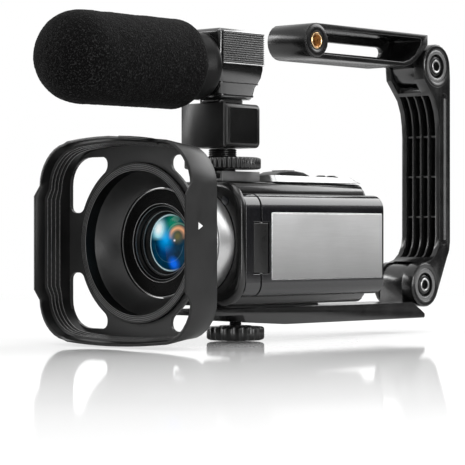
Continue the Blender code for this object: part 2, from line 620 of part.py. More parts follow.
settle(lathe("mic_collar", [
    (TUBE_R + 3.2, foam_end + 0.5), (TUBE_R + 2.4, foam_end + 2.5), (TUBE_R + 2.4, foam_end + 5.5),
    (TUBE_R + 5.4, front_y - 4.0), (TUBE_R + 6.2, front_y - 2.0), (TUBE_R + 6.2, front_y - 0.5),
    (TUBE_R + GAP, front_y - 0.5), (TUBE_R + GAP, foam_end + 0.5)], 40, "Y", 0.0, MIC_Z), "black")
tube_a = foam_a + 14.0
settle(lathe("mic_capsule_tube", [
    (TUBE_R, tube_a), (TUBE_R, front_y + 9.0), (tube_in, front_y + 9.0), (tube_in, tube_a)],
             32, "Y", 0.0, MIC_Z), "grey")
settle(rod("mic_capsule", "Y", tube_in - GAP, 0.0, MIC_Z, tube_a + 2.0, tube_a + 8.0), "steel")
foam_line = []
for i in range(1, 8):
    a = math.radians(90.0 * i / 7)
    foam_line.append((FOAM_R * math.sin(a) ** 0.87, foam_a + FOAM_R * 0.9 * (1.0 - math.cos(a) ** 0.87)))
for i in range(0, 4):
    a = math.radians(20.0 * i)
    foam_line.append((FOAM_R - 5.5 + 5.5 * math.cos(a), foam_end - 5.5 + 5.5 * math.sin(a) / 0.866))
foam = lathe("mic_windscreen", foam_line, 40, "Y", 0.0, MIC_Z, False)
cut(foam, rod("room", "Y", TUBE_R + GAP, 0.0, MIC_Z, tube_a - 1.0, foam_end + 4.0, 32))
settle(foam, "foam")

# Bracket: base plate with knob and screw, grip on the lower hinge, arm on
# the upper hinge.
pad_z = -BODY_BASE - GAP
pad = box("base_pad", -12.0, 12.0, BODY_Y + 6.0, BODY_Y + 78.0, pad_z - 1.0, pad_z, 3.0)
cut(pad, rod("hole", "Z", 6.0, 0.0, KNOB_Y, pad_z - 3.0, pad_z + 2.0))
settle(pad, "rubber")
plate = prism("base_plate", [
    (BODY_Y - 11.0, PLATE_TOP - 0.8), (BODY_Y - 10.0, PLATE_TOP), (LOW_Y - 12.5, PLATE_TOP),
    (LOW_Y - 5.0, PLATE_LOW + 4.4), (LOW_Y - 1.6, PLATE_LOW + 2.2), (LOW_Y - 1.6, PLATE_LOW + 0.6),
    (LOW_Y - 2.2, PLATE_LOW), (KNOB_Y + 22.0, PLATE_LOW), (KNOB_Y - 8.0, PLATE_LOW + 2.0),
    (KNOB_Y - 10.0, PLATE_LOW + 5.4), (BODY_Y - 10.0, PLATE_LOW + 5.6)], "X", -PLATE_W, PLATE_W)
knuckle_r = EAR_R - 1.0
knuckle = []
for i in range(21):
    a = math.radians(-100.0 + 14.0 * i)
    knuckle.append((LOW_Y + knuckle_r * math.cos(a), LOW_Z + knuckle_r * math.sin(a)))
knuckle.append((LOW_Y - knuckle_r, PLATE_LOW + 2.0))
knuckle.append((LOW_Y - 5.0, PLATE_LOW + 2.0))
add(plate, prism("knuckle", knuckle, "X", KNUCKLE_A, KNUCKLE_B))
cut(plate, rod("hole", "X", BOLT_R + GAP, LOW_Y, LOW_Z, -40.0, 40.0, 20))
cut(plate, rod("hole", "Z", SCREW_R + GAP, 0.0, KNOB_Y, PLATE_LOW - 5.0, PLATE_TOP + 5.0, 20))
nose = BODY_Y - 11.0
nose_r = PLATE_W - 2.0
for s in (1, -1):
    pts = [(s * (PLATE_W + 3.0), nose - 3.0), (s * (PLATE_W + 3.0), nose + nose_r)]
    for i in range(9):
        a = math.radians(11.25 * i)
        pts.append((s * (PLATE_W - nose_r + nose_r * math.cos(a)), nose + nose_r - nose_r * math.sin(a)))
    pts.append((s * (PLATE_W - nose_r), nose - 3.0))
    cut(plate, prism("corner", pts, "Z", PLATE_LOW - 5.0, PLATE_TOP + 5.0))
settle(plate, "matt")
knob_top = PLATE_LOW + 1.2
knob = lathe("base_knob", [
    (KNOB_R - 1.2, -LENS_H), (KNOB_R, -LENS_H + 1.0), (KNOB_R, PLATE_LOW - 1.6),
    (KNOB_R - 1.2, PLATE_LOW - 0.8), (8.0, PLATE_LOW - 0.8), (8.0, PLATE_LOW - 0.3)],
             48, "Z", 0.0, KNOB_Y, False, (1, 2), 0.9)
cut(knob, rod("hole", "Z", SCREW_R + 0.2, 0.0, KNOB_Y, PLATE_LOW - 4.3, PLATE_LOW + 4.0, 20))
settle(knob, "black", (0.0, KNOB_Y, -LENS_H))
settle(rod("tripod_screw", "Z", SCREW_R, 0.0, KNOB_Y, PLATE_LOW - 4.0, -BODY_BASE + 5.5, 20),
       "steel", (0.0, KNOB_Y, -LENS_H))

bar_f = LOW_Y + EAR_R + 1.2
bar_b = bar_f + GRIP_D
side_line = []
for i in range(18):
    a = math.radians(85.0 + 15.0 * i)
    side_line.append((LOW_Y + EAR_R * math.cos(a), LOW_Z + EAR_R * math.sin(a)))
side_line.append((bar_b - 3.0, LOW_Z + 14.0))
side_line.append((bar_b - 0.7, LOW_Z + 18.5))
side_line.append((bar_b, LOW_Z + 23.0))
side_line.append((bar_b, UP_Z - 6.0))
for i in range(13):
    a = math.radians(15.8 * i)
    side_line.append((UP_Y + EAR_R * math.cos(a), UP_Z + EAR_R * math.sin(a)))
side_line.append((UP_Y - EAR_R + 0.8, UP_Z - 7.5))
side_line.append((bar_f - 9.0, UP_Z - 13.0))
side_line.append((bar_f - 4.4, UP_Z - 18.2))
side_line.append((bar_f - 1.6, UP_Z - 24.8))
side_line.append((bar_f - 0.3, UP_Z - 32.0))
side_line.append((bar_f, UP_Z - 38.0))
side_line.append((bar_f, LOW_Z + 26.0))
side_line.append((bar_f - 0.8, LOW_Z + 21.0))
side_line.append((bar_f - 3.4, LOW_Z + 16.4))
side_line.append((bar_f - 7.6, LOW_Z + 13.2))
grip = prism("grip_frame", side_line, "X", -GRIP_W, GRIP_W)
fork = EAR_R + 0.8
for y, z in ((LOW_Y, LOW_Z), (UP_Y, UP_Z)):
    cut(grip, rod("fork", "X", fork, y, z, KNUCKLE_A - GAP, KNUCKLE_B + GAP, 36))
    cut(grip, rod("hole", "X", BOLT_R + GAP, y, z, -40.0, 40.0, 20))
    cut(grip, rod("sink", "X", 6.4, y, z, GRIP_W - 3.4, GRIP_W + 5.0))
    cut(grip, rod("sink", "X", 6.4, y, z, -GRIP_W - 5.0, -GRIP_W + 2.0))
cut(grip, box("throat", KNUCKLE_A - GAP, KNUCKLE_B + GAP, UP_Y - 20.0, UP_Y - 3.0, UP_Z - 14.2, UP_Z + 3.0))
cell_a = LOW_Z + 14.8
cell_b = UP_Z - 16.0
pitch = (cell_b - cell_a) / 4
column = (2.0 * GRIP_W - 5.0) / 4
for i in range(4):
    x0 = -GRIP_W + 2.5 + column * i + 0.5
    cut(grip, box("pocket", x0, x0 + column - 1.0, bar_f - 9.0, bar_b - GRIP_BACK, cell_a, cell_b))
for k in (1, 2, 3):
    z0 = cell_a + pitch * k
    add(grip, box("tie", -GRIP_W + 1.5, GRIP_W - 1.5, bar_f + 2.4, bar_b - 1.0, z0 - 0.5, z0 + 0.5))
pill_y = bar_f + 0.4 * GRIP_D
pill_r = 0.27 * GRIP_D
pill = []
for z, start in ((UP_Z - 17.0, 0.0), (LOW_Z + 24.0, 180.0)):
    for i in range(7):
        a = math.radians(start + 30.0 * i)
        pill.append((pill_y + pill_r * math.cos(a), z + pill_r * math.sin(a)))
cut(grip, prism("pill", pill, "X", GRIP_W - 0.8, GRIP_W + 5.0))
low_axis = (0.0, LOW_Y, LOW_Z)
up_axis = (0.0, UP_Y, UP_Z)
settle(grip, "matt", low_axis)

arm_z = UP_Z - 1.6
arm_top = arm_z + ARM_H
front_c = UP_Y - ARM_L + ARM_H / 2
arm_line = []
for i in range(11):
    a = math.radians(90.0 + 180.0 * i / 10)
    arm_line.append((front_c + ARM_H / 2 * math.cos(a), arm_z + ARM_H / 2 + ARM_H / 2 * math.sin(a)))
heel = (
    (-28.2, -1.6), (-23.5, -0.4), (-18.7, 2.0), (-14.5, 5.2), (-10.9, 8.3), (-7.9, 11.4))
for y, z in heel:
    arm_line.append((UP_Y + y, UP_Z + z))
arm_line.append((UP_Y - 7.9, arm_top))
arm = prism("top_arm", arm_line, "X", -GRIP_W + 0.4, GRIP_W)
knuckle = []
for i in range(23):
    a = math.radians(-174.0 + 14.0 * i)
    knuckle.append((UP_Y + knuckle_r * math.cos(a), UP_Z + knuckle_r * math.sin(a)))
knuckle.append((UP_Y - 18.0, arm_top - 3.0))
knuckle.append((UP_Y - 25.0, arm_z + 1.4))
add(arm, prism("knuckle", knuckle, "X", KNUCKLE_A, KNUCKLE_B))
cut(arm, rod("hole", "X", BOLT_R + GAP, UP_Y, UP_Z, -40.0, 40.0, 20))
cut(arm, rod("hole", "X", INSERT_R + GAP, front_c, arm_z + ARM_H / 2, GRIP_W - 9.0, GRIP_W + 5.0))
lip = 2.4
mid_h = arm_z + ARM_H / 2
pocket = []
for i in range(7):
    a = math.radians(-52.0 + 104.0 * i / 6)
    pocket.append((front_c + 9.4 * math.cos(a), mid_h + 8.1 * math.sin(a)))
pocket.append((UP_Y - 14.2, arm_top - lip))
for y, z in ((-13.6, 13.0), (-14.4, 10.6), (-18.7, 5.6), (-23.5, 2.5), (-29.4, 0.8)):
    pocket.append((UP_Y + y, UP_Z + z))
BACK_WALL = 3.2
arm_back = -GRIP_W + 0.4
cut(arm, prism("pocket", pocket, "X", arm_back + BACK_WALL, 40.0))
slot = []
slot_r = 2.8
slot_a = front_c + 16.0
slot_b = UP_Y - EAR_R - 10.0
for c, start in ((slot_b, -90.0), (slot_a, 90.0)):
    for i in range(7):
        a = math.radians(start + 30.0 * i)
        slot.append((c + slot_r * math.cos(a), mid_h + slot_r * math.sin(a)))
cut(arm, prism("slot", slot, "X", -40.0, 40.0))
settle(arm, "matt", up_axis)
settle(lathe("arm_thread_insert", [
    (INSERT_R, GRIP_W + 0.2), (INSERT_R, GRIP_W - 8.6), (SCREW_R - 0.2, GRIP_W - 8.6),
    (SCREW_R - 0.2, GRIP_W + 0.2)], 24, "X", front_c, arm_z + ARM_H / 2), "brass", up_axis)
for name, y, z, axis in (("lower_hinge", LOW_Y, LOW_Z, None), ("upper_hinge", UP_Y, UP_Z, up_axis)):
    bolt = lathe(name + "_bolt", [
        (BOLT_R, -GRIP_W + 0.2), (BOLT_R, GRIP_W - 3.1), (5.2, GRIP_W - 3.1), (5.2, GRIP_W - 0.6),
        (4.6, GRIP_W - 0.2)], 24, "X", y, z, False)
    cut(bolt, rod("hex", "X", 2.6, y, z, GRIP_W - 2.0, GRIP_W + 3.0, 6))
    settle(bolt, "chrome", axis)
    settle(lathe(name + "_nut", [
        (5.0, -GRIP_W + 0.2), (5.0, -GRIP_W + 1.7), (BOLT_R + 0.4, -GRIP_W + 1.7),
        (BOLT_R + 0.4, -GRIP_W + 0.2)], 12, "X", y, z, True, (0, 1), 0.6), "steel", axis)
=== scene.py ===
"""Camcorder with a wide lens, square hood, shoe microphone and folding bracket.
Pieces are drawn in millimetres about the lens axis at the hood plate, and are
brought home to the frame when they are finished."""
import json
import math
import bpy
import bmesh
from mathutils import Matrix, Vector, noise

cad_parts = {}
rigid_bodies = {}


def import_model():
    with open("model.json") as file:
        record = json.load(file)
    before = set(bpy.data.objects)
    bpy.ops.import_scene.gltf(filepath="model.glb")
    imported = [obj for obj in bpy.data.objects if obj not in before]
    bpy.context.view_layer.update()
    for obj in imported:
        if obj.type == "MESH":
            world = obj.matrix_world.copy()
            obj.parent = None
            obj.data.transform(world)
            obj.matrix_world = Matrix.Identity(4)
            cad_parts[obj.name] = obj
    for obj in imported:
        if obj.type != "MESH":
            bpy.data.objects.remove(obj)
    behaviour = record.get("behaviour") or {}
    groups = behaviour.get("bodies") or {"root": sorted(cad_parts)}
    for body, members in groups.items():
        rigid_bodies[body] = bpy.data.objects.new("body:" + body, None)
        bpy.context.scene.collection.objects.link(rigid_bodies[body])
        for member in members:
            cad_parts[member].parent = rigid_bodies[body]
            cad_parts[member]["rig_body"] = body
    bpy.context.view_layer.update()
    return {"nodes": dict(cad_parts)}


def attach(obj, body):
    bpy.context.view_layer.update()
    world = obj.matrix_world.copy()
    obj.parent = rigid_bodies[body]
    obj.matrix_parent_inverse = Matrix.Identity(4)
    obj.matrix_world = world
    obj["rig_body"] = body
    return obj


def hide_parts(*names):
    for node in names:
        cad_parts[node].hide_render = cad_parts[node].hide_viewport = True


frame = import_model()
scene = bpy.context.scene
scene.view_settings.view_transform = "Standard"

# Places that several pieces share, in millimetres. A pair gives the two
# coordinates across an axis.
LENS_HEIGHT = 48.6
SCREW_AXIS = (0.0, 69.0)
WHEEL_AXIS = (0.0, 59.5)
MIC_AXIS = (0.0, 86.5)
PHOTO_AXIS = (9.0, 124.9)
MODE_AXIS = (9.0, 133.4)
RECORD_AXIS = (16.3, 8.0)
INSERT_AXIS = (116.65, 103.25)
LOWER_HINGE = (208.6, -23.3)
UPPER_HINGE = (219.0, 95.7)

HOME = Matrix.Scale(0.001, 4) @ Matrix.Translation((0.0, -SCREW_AXIS[1], LENS_HEIGHT))
UPRIGHT = Matrix.Rotation(math.pi / 2, 4, "X")
ALONG = {"X": Vector((1, 0, 0)), "Y": Vector((0, 1, 0)), "Z": Vector((0, 0, 1))}
SIDES = (("screen_side", 1), ("grip_side", -1))
TOUCHING = 0.01
VERT = bmesh.types.BMVert
EDGE = bmesh.types.BMEdge
FACE = bmesh.types.BMFace
NUMBER = "NodeSocketFloat"
ARROW = "NodeSocketVector"
WHITE = (1.0, 1.0, 1.0, 1.0)

# Camera of the photograph.
lens = bpy.data.cameras.new("photo_camera")
lens.lens = 170.3
lens.sensor_width = 36.0
eye = bpy.data.objects.new("photo_camera", lens)
eye.location = (0.7342, -0.8176, 0.0536)
eye.rotation_euler = (math.radians(90.0), 0.0, math.radians(42.0))
scene.collection.objects.link(eye)
scene.camera = eye


# Shader helpers.
def wire(tree, kind, inputs=None, **settings):
    """One shader node with its values set and its sockets joined."""
    made = tree.nodes.new("ShaderNode" + kind)
    for key, value in settings.items():
        setattr(made, key, value)
    for key, value in (inputs or {}).items():
        if isinstance(value, bpy.types.NodeSocket):
            tree.links.new(value, made.inputs[key])
        else:
            made.inputs[key].default_value = value
    return made


def object_spot(tree):
    return wire(tree, "TexCoord").outputs["Object"]


def parts_of(tree, arrow):
    return wire(tree, "SeparateXYZ", {0: arrow}).outputs


def spread(tree, value, low, high, to_low=0.0, to_high=1.0):
    """Value brought from one range to another and held inside it."""
    return wire(tree, "MapRange", {"Value": value, "From Min": low, "From Max": high,
                                   "To Min": to_low, "To Max": to_high}).outputs["Result"]


def combined(tree, how, a, b=0.0):
    """Result of one sum on plain numbers."""
    return wire(tree, "Math", {0: a, 1: b}, operation=how).outputs[0]


def product(tree, a, b):
    return combined(tree, "MULTIPLY", a, b)


def greater(tree, a, b):
    return combined(tree, "MAXIMUM", a, b)


def arrow_sum(tree, how, *inputs):
    """Outputs of one sum on arrows: an arrow first, a plain Value second."""
    return wire(tree, "VectorMath", dict(enumerate(inputs)), operation=how).outputs


def clouds(tree, spot, scale, detail, roughness=0.5):
    """Soft noise from 0 to 1."""
    return wire(tree, "TexNoise", {"Vector": spot, "Scale": scale, "Detail": detail,
                                   "Roughness": roughness}).outputs["Fac"]


def tinted(tree, mask, dark, light):
    """Colour between two, picked by a mask."""
    return wire(tree, "Mix", {0: mask, 6: dark, 7: light}, data_type="RGBA").outputs[2]


# Surface effects, shared by the finishes.
def surface_effect(name, inputs):
    """Shader group that gives a mottle mask and a relief height."""
    tree = bpy.data.node_groups.new(name, "ShaderNodeTree")
    for label, kind, value in inputs:
        tree.interface.new_socket(label, in_out="INPUT", socket_type=kind).default_value = value
    for label in ("Mottle", "Height"):
        tree.interface.new_socket(label, in_out="OUTPUT", socket_type=NUMBER)
    return tree, tree.nodes.new("NodeGroupInput").outputs, tree.nodes.new("NodeGroupOutput").inputs


def moulded_skin():
    """Fine grain over slow patches."""
    tree, given, result = surface_effect("moulded_skin", (("Grain", NUMBER, 2600.0), ("Patch", NUMBER, 60.0)))
    spot = object_spot(tree)
    grain = clouds(tree, spot, given["Grain"], 2.0)
    patch = clouds(tree, spot, given["Patch"], 5.0, 0.6)
    mixed = combined(tree, "ADD", product(tree, patch, 0.7), product(tree, grain, 0.3))
    tree.links.new(spread(tree, mixed, 0.36, 0.64), result["Mottle"])
    tree.links.new(grain, result["Height"])


def turned_rings():
    """Fine tool marks round an axis."""
    tree, given, result = surface_effect("turned_rings", (
        ("Centre", ARROW, (0.0, 0.0, 0.001 * LENS_HEIGHT)), ("Across", ARROW, (1.0, 0.0, 1.0)),
        ("Lines", NUMBER, 9000.0)))
    spot = object_spot(tree)
    off = arrow_sum(tree, "SUBTRACT", spot, given["Centre"])[0]
    flat = arrow_sum(tree, "MULTIPLY", off, given["Across"])[0]
    radius = arrow_sum(tree, "LENGTH", flat)["Value"]
    stray = clouds(tree, spot, 160.0, 3.0)
    phase = combined(tree, "ADD", product(tree, radius, given["Lines"]), product(tree, stray, 2.0))
    mark = combined(tree, "SINE", phase)
    uneven = combined(tree, "ADD", mark, product(tree, stray, 3.0))
    tree.links.new(spread(tree, uneven, 0.2, 2.8), result["Mottle"])
    tree.links.new(spread(tree, mark, -1.0, 1.0), result["Height"])


def brushed_lines():
    """Hair lines drawn out one way."""
    tree, given, result = surface_effect("brushed_lines", (
        ("Stretch", ARROW, (3000.0, 40.0, 3000.0)), ("Patch", NUMBER, 40.0)))
    spot = object_spot(tree)
    drawn = arrow_sum(tree, "MULTIPLY", spot, given["Stretch"])[0]
    hair = clouds(tree, drawn, 1.0, 4.0, 0.7)
    patch = clouds(tree, spot, given["Patch"], 3.0)
    mixed = combined(tree, "ADD", product(tree, hair, 0.6), product(tree, patch, 0.4))
    tree.links.new(spread(tree, mixed, 0.34, 0.66), result["Mottle"])
    tree.links.new(hair, result["Height"])


def open_foam():
    """Open cells with specks of light on their walls."""
    tree, given, result = surface_effect("open_foam", (("Cells", NUMBER, 1250.0),))
    spot = object_spot(tree)
    cell = wire(tree, "TexVoronoi", {"Vector": spot, "Scale": given["Cells"]}).outputs["Distance"]
    speck = clouds(tree, spot, 1150.0, 3.0, 0.75)
    lit = combined(tree, "ADD", speck, product(tree, cell, 0.25))
    tree.links.new(spread(tree, lit, 0.64, 0.84), result["Mottle"])
    tree.links.new(combined(tree, "ADD", cell, speck), result["Height"])


def woven_band():
    """Plain weave along the strap."""
    tree, given, result = surface_effect("woven_band", (("Pitch", NUMBER, 5200.0),))
    spot = object_spot(tree)
    place = parts_of(tree, spot)
    warp = combined(tree, "SINE", product(tree, place["Y"], given["Pitch"]))
    weft = combined(tree, "SINE", product(tree, place["Z"], given["Pitch"]))
    thread = product(tree, warp, weft)
    fuzz = clouds(tree, spot, 900.0, 3.0)
    tree.links.new(spread(tree, combined(tree, "ADD", thread, fuzz), -0.5, 1.6), result["Mottle"])
    tree.links.new(spread(tree, thread, -1.0, 1.0), result["Height"])


moulded_skin()
turned_rings()
brushed_lines()
open_foam()
woven_band()


# Finishes.
def new_material(name):
    """Material with its node tree and its shader."""
    mat = bpy.data.materials.new(name)
    mat.use_nodes = True
    return mat, mat.node_tree, mat.node_tree.nodes["Principled BSDF"]


def shade(colour):
    """Full colour; a single number is a grey."""
    if isinstance(colour, float):
        return (colour, colour, colour, 1.0)
    return (*colour, 1.0)


def finish(name, slot, effect, values, dark, light, rough, metal=0.0, specular=0.5,
           bump=0.1, depth=0.0002, coat=0.0):
    """Material whose colour, gloss and relief all follow one surface effect."""
    mat, tree, shader = new_material(name)
    skin = tree.nodes.new("ShaderNodeGroup")
    skin.node_tree = bpy.data.node_groups[effect]
    for key, value in values.items():
        skin.inputs[key].default_value = value
    mottle = skin.outputs["Mottle"]
    tree.links.new(tinted(tree, mottle, shade(dark), shade(light)), shader.inputs["Base Color"])
    tree.links.new(spread(tree, mottle, 0.0, 1.0, *rough), shader.inputs["Roughness"])
    relief = wire(tree, "Bump", {"Height": skin.outputs["Height"], "Strength": bump, "Distance": depth})
    tree.links.new(relief.outputs[0], shader.inputs["Normal"])
    shader.inputs["Metallic"].default_value = metal
    shader.inputs["Specular IOR Level"].default_value = specular
    shader.inputs["Coat Weight"].default_value = coat
    shader.inputs["Coat Roughness"].default_value = 0.05
    mat["slot"] = slot
    return mat


def moulded(name, slot, grain, patch, dark, light, rough, **more):
    """Finish with the moulded skin at its own grain and patch size."""
    return finish(name, slot, "moulded_skin", {"Grain": grain, "Patch": patch}, dark, light, rough, **more)


def painted_top_light(mat, low, high, least, most):
    """Painted light: let the colour fall off from the top of a piece to its foot, so the top looks lit and
    the foot shaded.
    """
    tree = mat.node_tree
    shader = tree.nodes["Principled BSDF"]
    colour = shader.inputs["Base Color"].links[0].from_socket
    level = spread(tree, parts_of(tree, object_spot(tree))["Z"], low, high, least, most)
    tree.links.new(arrow_sum(tree, "MULTIPLY", colour, level)[0], shader.inputs["Base Color"])


gloss_black = moulded(
    "gloss_black", "black_plastic", 700.0, 45.0, 0.004, 0.008, (0.13, 0.2), specular=0.48, bump=0.03)
satin_black = moulded(
    "satin_black", "black_plastic", 2400.0, 60.0, 0.005, 0.010, (0.26, 0.36), specular=0.3, bump=0.05)
deep_gloss = moulded(
    "deep_gloss", "black_plastic", 700.0, 45.0, 0.003, 0.006, (0.12, 0.18), specular=0.6, bump=0.01, coat=0.8)
collar_black = moulded(
    "collar_black", "black_plastic", 2200.0, 60.0, 0.003, 0.006, (0.3, 0.4), specular=0.14, bump=0.04)
wheel_black = moulded(
    "wheel_black", "black_plastic", 2400.0, 60.0, 0.005, 0.010, (0.24, 0.32), specular=0.5, bump=0.03)
hood_black = moulded(
    "hood_black", "matt_black", 3200.0, 70.0, 0.006, 0.011, (0.34, 0.44), specular=0.36, bump=0.08)
hood_grey = moulded(
    "hood_grey", "matt_black", 3200.0, 70.0, 0.022, 0.030, (0.36, 0.46), specular=0.4, bump=0.08)
# Deep matt black of the hood's inside, also used as painted shade in the ring's groove floors and on its
# thread wall.
baffle_black_and_painted_shade = moulded(
    "baffle_black_and_painted_shade", "matt_black", 3200.0, 70.0, 0.002, 0.004, (0.3, 0.4), specular=0.24, bump=0.06)
bracket_black = moulded(
    "bracket_black", "matt_black", 2400.0, 80.0, 0.004, 0.009, (0.17, 0.26), specular=0.5, bump=0.03)
arm_black = moulded(
    "arm_black", "matt_black", 2400.0, 80.0, 0.003, 0.006, (0.21, 0.28), specular=0.4, bump=0.03)
barrel_black = moulded(
    "barrel_black", "matt_black", 2400.0, 80.0, 0.065, 0.09, (0.18, 0.26), metal=1.0, bump=0.02)
mark_white = moulded(
    "mark_white", "matt_black", 2600.0, 200.0, 0.70, 0.82, (0.5, 0.6), bump=0.05)
dish_black = moulded(
    "dish_black", "black_metal", 2800.0, 40.0, 0.006, 0.010, (0.34, 0.42), specular=0.7, bump=0.1)
bolt_black = moulded(
    "bolt_black", "black_metal", 1500.0, 120.0, 0.004, 0.010, (0.22, 0.34), metal=0.2,
    specular=0.4, bump=0.04)
lens_black = finish(
    "lens_black", "black_metal", "turned_rings", {"Lines": 12000.0}, 0.002, 0.005, (0.3, 0.4),
    specular=0.16, bump=0.06, depth=0.0001)
# Lighter grey metal for thin rings at the lens edges: painted highlights.
painted_edge_highlight = finish(
    "painted_edge_highlight", "black_metal", "turned_rings", {"Lines": 8000.0}, 0.22, 0.34, (0.3, 0.42),
    metal=0.6, bump=0.02)
# Dull grey metal for the washers, also used as painted highlights on the hood's rib tops, the flange crests
# and edge, and the grip's tie caps and side strip.
grey_metal_and_painted_highlight = finish(
    "grey_metal_and_painted_highlight", "black_metal", "turned_rings", {"Lines": 8000.0}, 0.12, 0.18, (0.3, 0.42),
    metal=0.5, bump=0.02)
gunmetal = moulded(
    "gunmetal", "gunmetal", 3600.0, 50.0, (0.004, 0.004, 0.005), (0.008, 0.008, 0.009), (0.13, 0.17),
    specular=0.6, bump=0.01)
trim_silver = moulded(
    "trim_silver", "silver_paint", 1800.0, 60.0, 0.36, 0.42, (0.34, 0.42), metal=0.85, bump=0.01)
plate_silver = finish(
    "plate_silver", "silver_paint", "brushed_lines", {"Stretch": (2600.0, 60.0, 2600.0)}, 0.62, 0.70,
    (0.36, 0.44), metal=0.92, bump=0.03, depth=0.0001)
# Painted light on the screen's cover plate: darker towards its foot, brighter at its top.
painted_top_light(plate_silver, 0.030, 0.064, 0.5, 1.12)
ring_silver = finish(
    "ring_silver", "silver_metal", "brushed_lines", {"Stretch": (25.0, 5200.0, 25.0)}, 0.46, 0.58,
    (0.34, 0.44), metal=1.0, bump=0.06, depth=0.0001)
chrome = finish(
    "chrome", "silver_metal", "brushed_lines", {"Stretch": (900.0, 900.0, 900.0)}, 0.66, 0.80,
    (0.08, 0.18), metal=1.0, bump=0.02)
steel = finish(
    "steel", "steel", "brushed_lines", {"Stretch": (400.0, 2400.0, 2400.0)}, 0.42, 0.58,
    (0.22, 0.36), metal=1.0, bump=0.06)
shoe_grey = moulded(
    "shoe_grey", "steel", 2200.0, 90.0, 0.15, 0.20, (0.34, 0.42), metal=0.7, bump=0.03)
# The brass is darkened to a deep brown as painted shade for the inside of the threaded bore.
brass = finish(
    "brass", "brass", "turned_rings",
    {"Centre": (0.0, 0.0473, 0.1519), "Across": (0.0, 1.0, 1.0), "Lines": 14000.0},
    (0.10, 0.034, 0.008), (0.30, 0.125, 0.034), (0.25, 0.4), metal=1.0, bump=0.08)
brass_rim = moulded(
    "brass_rim", "brass", 2600.0, 200.0, (0.62, 0.40, 0.20), (0.80, 0.58, 0.34), (0.2, 0.3),
    metal=1.0, bump=0.03)
strip_grey = moulded(
    "strip_grey", "grey_plastic", 1800.0, 90.0, 0.20, 0.26, (0.24, 0.32), metal=0.9, bump=0.02)
rib_grey = moulded(
    "rib_grey", "grey_plastic", 1800.0, 90.0, 0.12, 0.16, (0.24, 0.32), metal=0.9, bump=0.02)
battery_grey = moulded(
    "battery_grey", "grey_plastic", 2600.0, 60.0, 0.020, 0.034, (0.4, 0.5), bump=0.12)
signal_red = moulded(
    "signal_red", "grey_plastic", 900.0, 300.0, (0.42, 0.010, 0.012), (0.60, 0.020, 0.020),
    (0.2, 0.3), bump=0.02)
rubber = moulded(
    "rubber", "rubber", 1800.0, 90.0, 0.008, 0.018, (0.6, 0.75), bump=0.2)
leather = moulded(
    "leather", "rubber", 950.0, 140.0, 0.006, 0.016, (0.5, 0.65), specular=0.3, bump=0.5, depth=0.0004)
foam_black = finish(
    "foam_black", "foam", "open_foam", {}, 0.0004, 0.024, (0.85, 0.98), specular=0.08, bump=0.6,
    depth=0.00045)
strap_weave = finish(
    "strap_weave", "webbing", "woven_band", {}, 0.006, 0.026, (0.75, 0.9), specular=0.25, bump=0.5,
    depth=0.0003)
strap_lining = moulded(
    "strap_lining", "webbing", 1200.0, 120.0, 0.010, 0.022, (0.8, 0.9), specular=0.2, bump=0.3)
thread_grey = moulded(
    "thread_grey", "webbing", 4000.0, 400.0, 0.10, 0.18, (0.6, 0.8), bump=0.2)
board_green = moulded(
    "board_green", "board", 1400.0, 260.0, (0.006, 0.06, 0.025), (0.015, 0.12, 0.05), (0.35, 0.5), bump=0.1)
screen_black = moulded(
    "screen_black", "screen_glass", 300.0, 30.0, (0.004, 0.005, 0.007), (0.008, 0.009, 0.012),
    (0.05, 0.1), bump=0.0, coat=0.5)
picture_dark = moulded(
    "picture_dark", "screen_glass", 60.0, 18.0, (0.006, 0.010, 0.018), (0.014, 0.020, 0.034),
    (0.04, 0.08), bump=0.0, coat=0.4)


